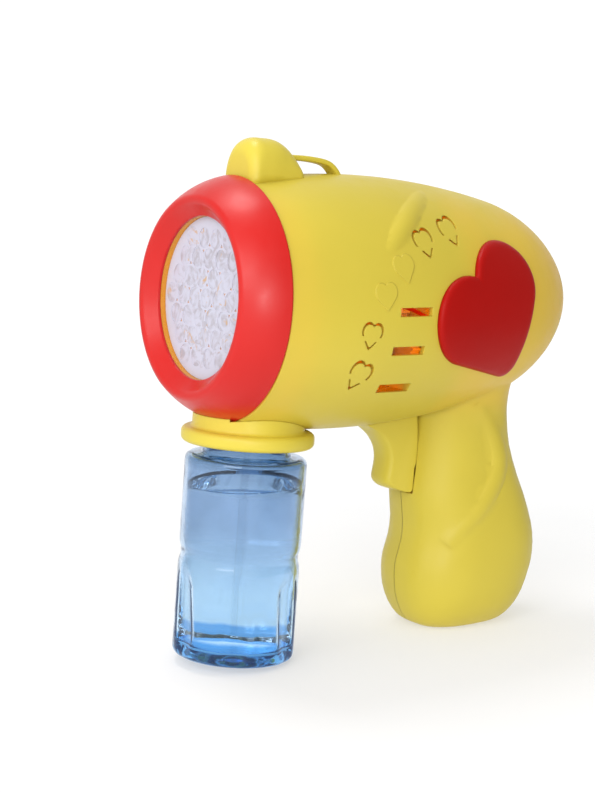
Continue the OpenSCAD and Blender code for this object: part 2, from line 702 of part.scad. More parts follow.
module motor_bracket() {
  color("lightgray") place() {
    difference() {
      rod_x(motor_r + 2, motor_s + 1, motor_s + 20);
      rod_x(motor_r + 0.1, motor_s, motor_s + 30);
    }
    difference() {
      union() {
        rod_x(28.4, tube_end + 0.1, motor_s + 1.2);
        rod_x(26, motor_s + 1, motor_s + 3);
      }
      rod_x(25.8, tube_end - 1, motor_s + 1.3);
      difference() {
        rod_x(40, motor_s + 1.1, motor_s + 4);
        rod_x(motor_r + 1, motor_s, motor_s + 5);
      }
      rod_x(motor_r + 0.1, motor_s - 2, motor_s + 30);
    }
    for (k = [45:90:315]) translate([motor_s - 1.6, 0, axis_z]) rotate([k, 0, 0])
      translate([0, -1, motor_r + 1]) cube([4.6, 2, 26.6 - motor_r - 1]);
  }
}

// Involute gear outline with a tooth on its +X axis
function inv_pt(rb, t) = [rb*(cos(t) + t*PI/180*sin(t)), rb*(sin(t) - t*PI/180*cos(t))];
function turn(p, a) = [p[0]*cos(a) - p[1]*sin(a), p[0]*sin(a) + p[1]*cos(a)];
function inv_at(rb, r) = sqrt(max(0, pow(r/rb, 2) - 1))*180/PI;
function gear_pts(n) = let (rp = gear_m*n/2, rb = rp*cos(25), ro = rp + 0.95*gear_m, rf = rp - 1.2*gear_m,
    tp = inv_at(rb, rp), pa = atan2(inv_pt(rb, tp)[1], inv_pt(rb, tp)[0]),
    half = 90/n - 0.04/rp*180/PI, t0 = inv_at(rb, max(rb, rf)), t1 = inv_at(rb, ro))
  flat([for (k = [0:n - 1]) let (a = 360*k/n) concat(
    [turn([rf, 0], a - half - pa - 0.6)],
    [for (i = [0:4]) turn(inv_pt(rb, t0 + (t1 - t0)*i/4), a - half - pa)],
    [for (i = [4:-1:0]) let (p = inv_pt(rb, t0 + (t1 - t0)*i/4)) turn([p[0], -p[1]], a + half + pa)],
    [turn([rf, 0], a + half + pa + 0.6)])]);

module gear_x(n, s0, s1, z, a) {
  translate([s0, 0, z]) rotate([90 + a, 0, 0]) rotate([0, 90, 0]) rotate(90) linear_extrude(s1 - s0)
    polygon(gear_pts(n));
}

module pinion() {
  color("ivory") place() difference() {
    gear_x(teeth_small, drive_s, drive_s + 4.2, axis_z, 180);
    rod_x(shaft_r + 0.01, drive_s - 1, drive_s + 6);
  }
}

module idler_gear() {
  color("ivory") place() difference() {
    union() {
      gear_x(teeth_big, drive_s + 0.4, drive_s + 3.8, idler_z, 180/teeth_big);
      gear_x(teeth_small, drive_s + 3.7, drive_s + 9.6, idler_z, 0);
    }
    rod_x(1.2 + run_fit, drive_s - 1, drive_s + 12, 0, idler_z);
  }
}

module idler_pin() {
  color("silver") place() {
    rod_x(1.2, drive_s - 0.4, pump_s + 1.5, 0, idler_z);
    rod_x(2.2, drive_s - 1.2, drive_s - 0.3, 0, idler_z);
  }
}

module pump_gear() {
  color("ivory") place() difference() {
    gear_x(teeth_big, drive_s + 5.6, drive_s + 9.2, axis_z, 180 + 180/teeth_big);
    rod_x(axle_r + 0.01, drive_s + 3, drive_s + 12);
  }
}

module pump_rotor() {
  color("ivory") place() {
    rod_x(axle_r, drive_s + 5.4, pump_end + 1.4);
    rod_x(roller_ring + 2.6, pump_s + pump_floor + 0.5, pump_s + pump_floor + 2);
    rod_x(3.6, pump_s + pump_floor + 1, pump_end - 0.5);
    for (k = [90, 210, 330]) rod_x(1.2, pump_s + pump_floor + 1, pump_end - 0.8,
      roller_ring*cos(k), axis_z + roller_ring*sin(k));
  }
}

module pump_rollers() {
  color("white") place() for (k = [90, 210, 330]) difference() {
    rod_x(roller_r, pump_s + pump_floor + 2.3, pump_end - 1,
      roller_ring*cos(k), axis_z + roller_ring*sin(k));
    rod_x(1.2 + 0.02, pump_s, pump_end, roller_ring*cos(k), axis_z + roller_ring*sin(k));
  }
}

module pump_outline(r) {
  circle(r = r);
  translate([-r, -r + 2]) square([2*r, r - 2]);
}

module pump_plate(r, s0, s1) {
  translate([s0, 0, axis_z]) rotate([90, 0, 90]) linear_extrude(s1 - s0) pump_outline(r);
}

module pump_housing() {
  color("lightgray") place() difference() {
    pump_plate(track_r + 2, pump_s, pump_end);
    pump_plate(track_r, pump_s + pump_floor, pump_end + 1);
    for (k = [-1, 1]) translate([pump_s + pump_floor, k*hose_ring - hose_r - 0.1, axis_z - 2*track_r])
      cube([20, 2*hose_r + 0.2, 2*track_r - 12]);
    rod_x(axle_r + run_fit, pump_s - 1, pump_end);
    rod_x(1.2 + 0.01, pump_s - 1, pump_s + 1.6, 0, idler_z);
  }
}

module pump_cover() {
  color("lightgray") place() difference() {
    pump_plate(track_r + 2, pump_end + 0.05, pump_end + 1.6);
    rod_x(axle_r + run_fit, pump_s, pump_end + 5);
  }
}

// A round cord or hose along a smooth line through the given points
module sweep(line, r, k, n) {
  p = smooth_rows(line, k);
  m = len(p);
  ref = [0.31, 0.87, 0.38];
  pts = flat([for (i = [0:m - 1]) let (
      d = unit(p[min(m - 1, i + 1)] - p[max(0, i - 1)]),
      u = unit(cross(d, ref)), v = cross(d, u))
    [for (j = [0:n - 1]) p[i] + r*(cos(360*j/n)*u + sin(360*j/n)*v)]]);
  polyhedron(pts, concat(
    [[for (j = [0:n - 1]) j]],
    [[for (j = [n - 1:-1:0]) (m - 1)*n + j]],
    [for (i = [0:m - 2]) for (j = [0:n - 1]) [i*n + j, (i + 1)*n + j, i*n + (j + 1)%n]],
    [for (i = [0:m - 2]) for (j = [0:n - 1]) [i*n + (j + 1)%n, (i + 1)*n + j, (i + 1)*n + (j + 1)%n]]));
}

module pump_hose() {
  h = hose_ring;
  s = hose_s;
  z = collar_top + 10.5;
  color("white", 0.7) place() sweep(concat(
    [[bottle_s, 0, z - 4.7], [bottle_s, -0.1, z - 3.7], [bottle_s + 0.4, -2.6, z - 1.4], [27, -8.6, z]],
    [[36, -14.4, z], [s - 35, -h, z + 1], [s - 19, -h, z + 4.6], [s - 8, -h, z + 7.8],
      [s - 1.6, -h, z + 11.4], [s, -h, z + 19]],
    [for (a = [180:-20:0]) [s, h*cos(a), axis_z + h*sin(a)]],
    [[s, h, z + 19], [s - 1.6, h, z + 11.4], [s - 8, h, z + 7.8], [s - 19, h, z + 4.6], [s - 35, h, z + 1]],
    [[36, 14.4, z], [24, 11, z + 0.4], [16, 5.4, z], [drip_s + 0.7, 0.9, drip_z - 1.9],
      [drip_s, 0, drip_z - 0.4]]), hose_r, 2, 10);
}

module trigger() {
  color("gold") place() difference() {
    union() {
      translate([0, trigger_w/2, 0]) rotate([90, 0, 0]) linear_extrude(trigger_w) polygon(concat(
        [[86.6, pivot[1]], [79, 84.5], [73.6, 81]],
        arc([69.6, 69.6], 9.4, 70, -38, 10),
        arc([79.4, 57.6], 2.6, 160, 250, 6),
        arc([81.8, 57.6], 4, 265, 340, 5),
        [[86.6, 61.4], [90.4, 67.6]], trigger_back, [[93.4, pivot[1]]]));
      rod_y(3.6, -trigger_w/2, trigger_w/2, pivot[0], pivot[1]);
    }
    rod_y(pin_r + run_fit, -20, 20, pivot[0], pivot[1]);
  }
}

module trigger_pin() {
  color("silver") place() rod_y(pin_r, -slot_w - 4.6, slot_w + 4.6, pivot[0], pivot[1]);
}

module switch_body() {
  color("dimgray") place() difference() {
    translate([switch_at[0], -4, switch_at[1] - 4]) cube([8.6, 8, 8]);
    rod_x(plunger_r + run_fit, switch_at[0] - 1, switch_at[0] + 6, 0, switch_at[1]);
  }
}

module switch_plunger() {
  color("black") place() rod_x(plunger_r, plunger_s, switch_at[0] + 2.6, 0, switch_at[1]);
}

// Frame of the leaning row of cells
module lean() {
  translate([cradle_at[0], 0, cradle_at[1]]) rotate([0, -cell_lean, 0]) children();
}

module battery_cradle() {
  color("gold") place() difference() {
    union() {
      lean() {
        translate([-13, -9, 0]) cube([26, 18, 1.6]);
        translate([-14.4, -10.2, cell_top + 0.7]) cube([28.4, 18.6, 1.6]);
        for (k = [-1, 1]) translate([k*11 - 1.2, -10.4, 0]) cube([2.4, 1.6, cell_top + 1.5]);
      }
      rod_y(3.2, -8, 10.8, door_screw_at[0], door_screw_at[1]);
    }
    rod_y(screw_r + 0.05, -1, 12, door_screw_at[0], door_screw_at[1]);
  }
}

module cell(i) {
  flip = i == 1;
  color(flip ? "dimgray" : "darkgray") place() lean()
    translate([cell_spots[i][0], cell_spots[i][1], cell_w + (flip ? 1 : 0)]) {
      cylinder(r = cell_r, h = cell_len);
      translate([0, 0, flip ? -1 : cell_len - 1]) cylinder(r = 2.75, h = 2);
    }
}

module cell_front() {
  cell(0);
}

module cell_middle() {
  cell(1);
}

module cell_rear() {
  cell(2);
}

module contact(i) {
  translate([cell_spots[i][0] - 4, cell_spots[i][1] - 4, 0]) cube([8, 8, 0.5]);
}

module contacts_top() {
  color("silver") place() lean() translate([0, 0, cell_top + 0.12]) {
    contact(0);
    contact(2);
    contact(1);
    translate([-2, -4, 0]) cube([cell_pitch, 8, 0.5]);
  }
}

module contacts_bottom() {
  color("silver") place() lean() translate([0, 0, 1.7]) {
    contact(0);
    contact(1);
    contact(2);
    translate([-cell_pitch, -4, 0]) cube([cell_pitch, 8, 0.5]);
  }
}

module battery_door() {
  color("gold") place() difference() {
    union() {
      intersection() {
        difference() {
          half_grip(0);
          half_grip(-wall);
        }
        door_area(0);
      }
      intersection() {
        rod_y(3.8, 11, 30, door_screw_at[0], door_screw_at[1]);
        half_grip(-wall/2, 0, 0, 10, 1);
      }
    }
    rod_y(screw_r + 0.2, 4, 40, door_screw_at[0], door_screw_at[1]);
    rod_y(head_r + 0.2, 14, 40, door_screw_at[0], door_screw_at[1]);
  }
}

// A pan-head screw along Y with its head on the +Y side
module screw(s, z, y0, y1) {
  difference() {
    union() {
      rod_y(screw_r, y0, y1 + 0.2, s, z);
      rod_y(head_r, y1, y1 + 1.8, s, z);
    }
    for (a = [0, 90]) translate([s, y1 + 1.8, z]) rotate([0, a, 0]) cube([3.4, 1.8, 0.7], center = true);
  }
}

module door_screw() {
  color("silver") place() screw(door_screw_at[0], door_screw_at[1], 4, 14);
}

module housing_screws() {
  color("silver") place() for (p = screws) screw(p[0], p[1], -5.5, head_y);
}

function wire_line(k, z) = [[switch_at[0] + 9.1, 1.2*k, z], [109, 4*k, z + 4], [108.6, 12*k, 88],
  [105, 20.2*k, 97], [97, 22*k, 104], [86, 21.8*k, 110], [motor_end + 6.6, 14*k, axis_z - 1.8],
  [motor_end + 4.2, 7*k, axis_z], [motor_end + 3.1, 4.6*k, axis_z]];

module wire_red() {
  color("red") place() sweep(wire_line(-1, switch_at[1] - 1.5), 0.7, 3, 8);
}

module wire_black() {
  color("black") place() sweep(wire_line(1, switch_at[1] + 1.5), 0.7, 3, 8);
}

left_housing();
right_housing();
front_bezel();
nozzle_tube();
bubble_disc();
drip_ring();
bottle_collar();
neck_gasket();
bottle();
dip_tube();
top_fin();
heart_badge();
motor_can();
motor_cap();
motor_shaft();
fan();
motor_bracket();
pinion();
idler_gear();
idler_pin();
pump_gear();
pump_rotor();
pump_rollers();
pump_housing();
pump_cover();
pump_hose();
trigger();
trigger_pin();
switch_body();
switch_plunger();
battery_cradle();
cell_front();
cell_middle();
cell_rear();
contacts_top();
contacts_bottom();
battery_door();
door_screw();
housing_screws();
wire_red();
wire_black();
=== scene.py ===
"""Looks of a hand-held bubble blower: soft studio, moulded plastics, clear bottle, wet ring disc."""
import math

import bmesh
import bpy
import numpy as np
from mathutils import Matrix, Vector


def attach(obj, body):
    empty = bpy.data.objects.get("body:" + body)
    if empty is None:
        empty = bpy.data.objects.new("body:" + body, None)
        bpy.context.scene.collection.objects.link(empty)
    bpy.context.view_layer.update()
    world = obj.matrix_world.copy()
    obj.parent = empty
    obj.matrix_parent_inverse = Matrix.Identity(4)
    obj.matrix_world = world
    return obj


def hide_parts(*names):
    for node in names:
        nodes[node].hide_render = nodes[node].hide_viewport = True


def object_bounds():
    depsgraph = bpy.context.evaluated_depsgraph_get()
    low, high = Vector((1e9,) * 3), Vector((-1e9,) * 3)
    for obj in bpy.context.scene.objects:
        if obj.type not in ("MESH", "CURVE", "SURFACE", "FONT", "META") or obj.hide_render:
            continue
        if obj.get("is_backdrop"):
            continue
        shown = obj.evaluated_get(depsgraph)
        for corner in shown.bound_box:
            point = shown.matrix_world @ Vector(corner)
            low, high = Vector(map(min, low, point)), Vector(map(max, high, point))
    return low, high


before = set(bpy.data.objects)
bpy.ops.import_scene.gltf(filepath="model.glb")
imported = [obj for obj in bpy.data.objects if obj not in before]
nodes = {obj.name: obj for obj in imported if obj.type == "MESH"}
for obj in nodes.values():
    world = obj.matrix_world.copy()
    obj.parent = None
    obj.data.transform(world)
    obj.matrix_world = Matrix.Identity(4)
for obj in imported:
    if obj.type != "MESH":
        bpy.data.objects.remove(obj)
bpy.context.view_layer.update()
scene = bpy.context.scene
MM = 0.001

# How the part stands: its lean, and where the origin of its upright drawing lies, in millimetres
STAND = math.radians(4.601192)
PLACE_X, PLACE_Z = -79.723886, 3.244598

# Barrel: height of the mouth's axis, and the pitch and drop of what lies behind the border
AXIS_Z = 117.2
BORDER_S = 10.9
PITCH = math.radians(2.4)
DROP = 1.4

# Outline of the barrel: arcs of the belly, the tail and the tip, which run into each other
BARREL_R = 42.0
BELLY_S, BELLY_ARC = 50.0, 250.0
TAIL_S, TAIL_ARC = 96.0, 56.3
TIP_ARC = 14.0
BELLY_C = BARREL_R - BELLY_ARC
TAIL_C = BELLY_C + math.sqrt((BELLY_ARC - TAIL_ARC) ** 2 - (TAIL_S - BELLY_S) ** 2)
TIP_S = TAIL_S + math.sqrt((TAIL_ARC - TIP_ARC) ** 2 - TAIL_C**2)
TAIL_START = BELLY_S + (TAIL_S - BELLY_S) * BELLY_ARC / (BELLY_ARC - TAIL_ARC)
TIP_START = TAIL_S + (TIP_S - TAIL_S) * TAIL_ARC / (TAIL_ARC - TIP_ARC)

# Ringed disc: its front, and the pitch and wall of its rings
DISC_S = 3.4
RING_PITCH, RING_WALL = 7.3, 0.9

# Bottle: place, radius and wall, then neck, shoulder and top
BOTTLE_S, BOTTLE_R, BOTTLE_WALL = 22.75, 20.0, 1.3
NECK_R, SHOULDER_Z, BOTTLE_TOP = 14.4, 66.8858, 75.3858

# Camera at the photograph's viewpoint
CAMERA_AT = (-0.361467, -0.499331, 0.181517)
CAMERA_TURN = (1.411691, -0.006635, -0.582279)
CAMERA_LENS, CAMERA_SENSOR, CAMERA_NEAR = 83.383, 36, 0.01


def place_camera():
    """Sets up the camera and plain colours."""
    cam = bpy.data.cameras.new("camera")
    cam.lens = CAMERA_LENS
    cam.sensor_fit = "AUTO"
    cam.sensor_width = CAMERA_SENSOR
    cam.clip_start = CAMERA_NEAR
    obj = bpy.data.objects.new("camera", cam)
    scene.collection.objects.link(obj)
    obj.location = CAMERA_AT
    obj.rotation_euler = CAMERA_TURN
    scene.camera = obj
    scene.view_settings.view_transform = "Standard"


place_camera()


# Places on the part
def barrel_radius(s):
    """Radius of the barrel at a distance s behind the mouth."""
    if s < TAIL_START:
        return BELLY_C + math.sqrt(BELLY_ARC**2 - (s - BELLY_S) ** 2)
    if s < TIP_START:
        return TAIL_C + math.sqrt(TAIL_ARC**2 - (s - TAIL_S) ** 2)
    return math.sqrt(max(0.0, TIP_ARC**2 - (s - TIP_S) ** 2))


def placed(s, y, z):
    """Point of the upright drawing in the frame of the standing part, in metres."""
    x = PLACE_X + s * math.cos(STAND) + z * math.sin(STAND)
    return Vector((x, y, PLACE_Z - s * math.sin(STAND) + z * math.cos(STAND))) * MM


def on_side(s, q, lift):
    """Point on the photographed side: s along the barrel, q up from its axis, lift off its surface."""
    y = -math.sqrt(max(1.0, (barrel_radius(s) + lift) ** 2 - q * q))
    a = s - BORDER_S
    x = BORDER_S + a * math.cos(PITCH) - q * math.sin(PITCH)
    z = AXIS_Z - DROP + a * math.sin(PITCH) + q * math.cos(PITCH)
    return placed(x, y, z)


def barrel_top(s, y, sink):
    """Height of the barrel's upper side at a place, or under it by a depth."""
    q = BARREL_R
    for _ in range(4):
        a = (s - BORDER_S + q * math.sin(PITCH)) / math.cos(PITCH)
        q = math.sqrt((barrel_radius(BORDER_S + a) - sink) ** 2 - y * y)
    return AXIS_Z - DROP + a * math.sin(PITCH) + q * math.cos(PITCH)


# A point and a direction of the barrel's axis and of the mouth's axis
BARREL_POINT = placed(BORDER_S, 0, AXIS_Z - DROP)
BARREL_AHEAD = placed(BORDER_S + math.cos(PITCH), 0, AXIS_Z - DROP + math.sin(PITCH))
BARREL_WAY = (BARREL_AHEAD - BARREL_POINT).normalized()
DISC_POINT = placed(DISC_S, 0, AXIS_Z)
MOUTH_WAY = (placed(DISC_S + 1, 0, AXIS_Z) - DISC_POINT).normalized()


# Material helpers. Places and sizes in materials are in metres
class Tree:
    """A small builder for node materials."""

    def __init__(self, name):
        self.mat = bpy.data.materials.new(name)
        self.mat.use_nodes = True
        self.t = self.mat.node_tree
        self.t.nodes.clear()
        self.out = self.t.nodes.new("ShaderNodeOutputMaterial").inputs["Surface"]
        self.coord = self.t.nodes.new("ShaderNodeTexCoord").outputs["Object"]

    def feed(self, sock, value):
        """Links an input to an output, or sets its value."""
        if isinstance(value, bpy.types.NodeSocket):
            self.t.links.new(value, sock)
        elif isinstance(value, tuple) and sock.type == "RGBA":
            sock.default_value = (*value, 1.0)
        else:
            sock.default_value = value

    def add(self, kind, feeds=None, **settings):
        """Adds a node with its settings and feeds its inputs."""
        n = self.t.nodes.new(kind)
        for key, value in settings.items():
            setattr(n, key, value)
        for key, value in (feeds or {}).items():
            self.feed(n.inputs[key], value)
        return n

    def axis(self, name, vector=None):
        """One coordinate of a vector, or else of the place on the part."""
        n = self.add("ShaderNodeSeparateXYZ", {0: self.coord if vector is None else vector})
        return n.outputs[name]

    def noise(self, scale, detail=3.0, rough=0.5, distortion=0.0, at=None):
        """Noise over the part, with a number of lumps per metre."""
        n = self.add("ShaderNodeTexNoise", {
            "Scale": scale, "Detail": detail, "Roughness": rough, "Distortion": distortion,
            "Vector": self.coord if at is None else at})
        return n.outputs["Fac"]

    def span(self, fac, low, high, start=0.0, end=1.0):
        """Turns the range from start to end into the range from low to high."""
        n = self.add("ShaderNodeMapRange", {
            "From Min": start, "From Max": end, "To Min": low, "To Max": high, "Value": fac})
        return n.outputs["Result"]

    def mix(self, fac, a, b):
        """Colour that goes from a to b with a share."""
        n = self.add("ShaderNodeMix", {"Factor": fac, "A": a, "B": b}, data_type="RGBA")
        return n.outputs["Result"]

    def math(self, op, a, b=None):
        """Result of an operation on one or two values."""
        n = self.add("ShaderNodeMath", {0: a} if b is None else {0: a, 1: b}, operation=op)
        return n.outputs[0]

    def vector(self, op, a, b=None, out="Vector"):
        """Result of an operation on one or two vectors."""
        n = self.add("ShaderNodeVectorMath", {0: a} if b is None else {0: a, 1: b}, operation=op)
        return n.outputs[out]

    def bump(self, height, strength, distance, below=None):
        """Normal of a surface with a relief, on top of another normal if there is one."""
        n = self.add("ShaderNodeBump", {"Strength": strength, "Distance": distance, "Height": height})
        if below is not None:
            self.feed(n.inputs["Normal"], below)
        return n.outputs["Normal"]

    def blend(self, fac, a, b):
        """Shader that goes from a to b with a share."""
        return self.add("ShaderNodeMixShader", {0: fac, 1: a.outputs[0], 2: b.outputs[0]})

    def end(self, node):
        """Makes a shader the material's surface."""
        self.feed(self.out, node.outputs[0])
        return self.mat


def darker(color, share):
    """A colour times a share."""
    return tuple(c * share for c in color)


# Painted glow inside the barrel, standing in for light that comes through its wall: radius of its wall, and
# how far a face looks inwards and sideways
INSIDE_R, INSIDE_LOOK, INSIDE_FLANK = (0.0400, 0.0404), (-0.5, -0.15), (0.35, 0.55)


def painted_glow_in_barrel(t):
    """Share of painted glow: faces on the inner flanks of the barrel that look towards its axis."""
    arm = t.vector("SUBTRACT", t.coord, BARREL_POINT)
    along = t.vector("DOT_PRODUCT", arm, BARREL_WAY, "Value")
    foot = t.add("ShaderNodeVectorMath", {0: BARREL_WAY, "Scale": along}, operation="SCALE")
    off_axis = t.vector("SUBTRACT", arm, foot.outputs[0])
    normal = t.add("ShaderNodeNewGeometry").outputs["Normal"]
    facing = t.vector("DOT_PRODUCT", t.vector("NORMALIZE", off_axis), normal, "Value")
    look = t.span(facing, 1.0, 0.0, *INSIDE_LOOK)
    near = t.span(t.vector("LENGTH", off_axis, out="Value"), 1.0, 0.0, *INSIDE_R)
    flank = t.span(t.math("ABSOLUTE", t.axis("Y", normal)), 0.0, 1.0, *INSIDE_FLANK)
    return t.math("MULTIPLY", t.math("MULTIPLY", look, near), flank)


# Depth behind the disc's front over which its sides take a painted amber light and glow from the tube
DISC_DEPTH = (0.0002, 0.0007)


def painted_tube_light_share(t):
    """Share of painted tube light: faces that lie deeper than the front of the ringed disc."""
    arm = t.vector("SUBTRACT", t.coord, DISC_POINT)
    return t.span(t.vector("DOT_PRODUCT", arm, MOUTH_WAY, "Value"), 0.0, 1.0, *DISC_DEPTH)


# Root of the grip, where edges are soft, and end of the crease bead, where they are nearly as soft
ROOT_X, ROOT_LOW, ROOT_HIGH = (0.008, 0.016), (0.066, 0.074), (0.104, 0.110)
CREASE_END, CREASE_NEAR, CREASE_SHARE = (0.0197, -0.0163, 0.0312), (0.003, 0.007), 0.8
EDGE_R, ROOT_EDGE_R = 0.0005, 0.0045


def grip_root(t):
    """Radius of the soft edge: wide at the grip's root and the crease's end, narrow elsewhere."""
    back = t.span(t.axis("X"), 0.0, 1.0, *ROOT_X)
    above = t.span(t.axis("Z"), 0.0, 1.0, *ROOT_LOW)
    under = t.span(t.axis("Z"), 1.0, 0.0, *ROOT_HIGH)
    root = t.math("MULTIPLY", back, t.math("MULTIPLY", above, under))
    away = t.vector("LENGTH", t.vector("SUBTRACT", t.coord, CREASE_END), out="Value")
    crease = t.span(away, CREASE_SHARE, 0.0, *CREASE_NEAR)
    return t.span(t.math("MAXIMUM", root, crease), EDGE_R, ROOT_EDGE_R)


# Moulded plastic: lumps per metre of its colour drift, specks, scuffs, mould grain and sink marks
DRIFT, SPECKS, SCUFFS, GRAIN, SINKS = 18.0, 900.0, 140.0, 2600.0, 60.0
# The part of a noise's range that counts, for most marks and for specks, and how strong specks are
NOISE_CORE = (0.3, 0.7)
SPECK_CORE, SPECK_SHARE, SPECK_SHADE = (0.68, 0.8), 0.12, 0.75
# Spread of roughness, and relief of mould grain and sink marks
ROUGH_SPREAD = 0.07
GRAIN_DEPTH = 0.00006
SINK_STRENGTH, SINK_DEPTH = 0.12, 0.0004
# Parting line: half width from sharp to gone, share and shade of its colour, and relief
SEAM_HALF, SEAM_SHARE, SEAM_SHADE = (0.00005, 0.00028), 0.45, 0.45
SEAM_STRENGTH, SEAM_DEPTH = 0.5, 0.0003
# Roughness of a coat, reach of light in soft plastic, share of light through a thin wall, and edge samples
COAT_ROUGH = 0.18
SOFT_REACH = (0.004, 0.0025, 0.0008)
THIN_SHARE = 0.08
EDGE_SAMPLES = 6


def parting_line(t, base, color, normal):
    """Colour and normal with a fine dark groove along the part's middle plane."""
    near = t.span(t.math("ABSOLUTE", t.axis("Y")), 1.0, 0.0, *SEAM_HALF)
    base = t.mix(t.math("MULTIPLY", near, SEAM_SHARE), base, darker(color, SEAM_SHADE))
    return base, t.bump(t.math("SUBTRACT", 1.0, near), SEAM_STRENGTH, SEAM_DEPTH, normal)


def plastic(name, color, rough, shade=0.9, grain=0.25, coat=0.0, seam=False, soft=0.0, edge=None, thin=None,
            gloss=0.5, inside=None):
    """Moulded plastic with slow colour drift, specks, fine mould grain and uneven gloss.

    It can also have a coat, a parting line, soft or thin walls that pass light, rounded edges, and places
    with painted light: a tint of another colour and a painted glow.
    """
    t = Tree(name)
    drift = t.span(t.noise(DRIFT, 4.0), 0.0, 1.0, *NOISE_CORE)
    specks = t.span(t.noise(SPECKS, 2.0), 0.0, SPECK_SHARE, *SPECK_CORE)
    base = t.mix(specks, t.mix(drift, darker(color, shade), color), darker(color, SPECK_SHADE))
    scuffs = t.noise(SCUFFS, 5.0, 0.65, 0.4)
    normal = None
    if edge:
        radius = edge(t) if callable(edge) else edge
        normal = t.add("ShaderNodeBevel", {"Radius": radius}, samples=EDGE_SAMPLES).outputs["Normal"]
    normal = t.bump(t.noise(GRAIN, 2.0), grain, GRAIN_DEPTH, normal)
    normal = t.bump(t.noise(SINKS, 2.0), SINK_STRENGTH, SINK_DEPTH, normal)
    if seam:
        base, normal = parting_line(t, base, color, normal)
    values = {
        "Roughness": t.span(scuffs, rough - ROUGH_SPREAD, rough + ROUGH_SPREAD, *NOISE_CORE),
        "Normal": normal,
        "Specular IOR Level": gloss,
        "Coat Weight": coat,
        "Coat Roughness": COAT_ROUGH,
    }
    # Painted light: where the mask says, the colour turns to a tint and the surface gets a painted glow
    if inside:
        place, painted_tint, glow = inside
        share = place(t)
        base = t.mix(share, base, painted_tint)
        values["Emission Color"] = painted_tint
        values["Emission Strength"] = t.math("MULTIPLY", share, glow)
    if soft:
        values["Subsurface Weight"] = soft
        values["Subsurface Radius"] = SOFT_REACH
        values["Subsurface Scale"] = 1.0
    values["Base Color"] = base
    surface = t.add("ShaderNodeBsdfPrincipled", values)
    if thin:
        surface = t.blend(THIN_SHARE, surface, t.add("ShaderNodeBsdfTranslucent", {"Color": thin}))
    return t.end(surface)


# Steel: the lines' share of the noise, their shade, spread of roughness and relief
LINE_CORE, LINE_SHADE, LINE_ROUGH = (0.35, 0.65), 0.82, (-0.08, 0.1)
LINE_STRENGTH, LINE_DEPTH = 0.12, 0.00004


def metal(name, color, rough, stretch):
    """Drawn or turned steel with fine lines along one axis."""
    t = Tree(name)
    place = t.add("ShaderNodeMapping", {"Scale": stretch, "Vector": t.coord})
    lines = t.noise(1.0, 4.0, at=place.outputs[0])
    return t.end(t.add("ShaderNodeBsdfPrincipled", {
        "Base Color": t.mix(t.span(lines, 0.0, 1.0, *LINE_CORE), darker(color, LINE_SHADE), color),
        "Metallic": 1.0,
        "Roughness": t.span(lines, rough + LINE_ROUGH[0], rough + LINE_ROUGH[1], *NOISE_CORE),
        "Normal": t.bump(lines, LINE_STRENGTH, LINE_DEPTH),
    }))


# Clear plastic and liquid: lumps per metre of colour and flow marks, darkest shade, depth of the marks
FLOW, FLOW_MARKS, FLOW_SHADE, FLOW_DEPTH = 30.0, 90.0, 0.97, 0.0005


def clear(name, color, rough, ior, wave):
    """Clear plastic or liquid with slight flow marks."""
    t = Tree(name)
    flow = t.span(t.noise(FLOW), 0.0, 1.0, *NOISE_CORE)
    return t.end(t.add("ShaderNodeBsdfPrincipled", {
        "Base Color": t.mix(flow, darker(color, FLOW_SHADE), color),
        "Roughness": rough,
        "IOR": ior,
        "Transmission Weight": 1.0,
        "Normal": t.bump(t.noise(FLOW_MARKS, 2.0, 0.5, 0.6), wave, FLOW_DEPTH),
    }))


# Colours that more than one look needs, and the painted light and glow inside the part
YELLOW = (0.69, 0.56, 0.060)
AMBER = (0.72, 0.30, 0.03)
WALL_LIGHT = (0.95, 0.42, 0.02)
INNER_PAINTED_LIGHT, INNER_PAINTED_GLOW = (0.64, 0.18, 0.004), 2.2
DISC_PAINTED_LIGHT, DISC_PAINTED_GLOW = (0.62, 0.34, 0.10), 0.6

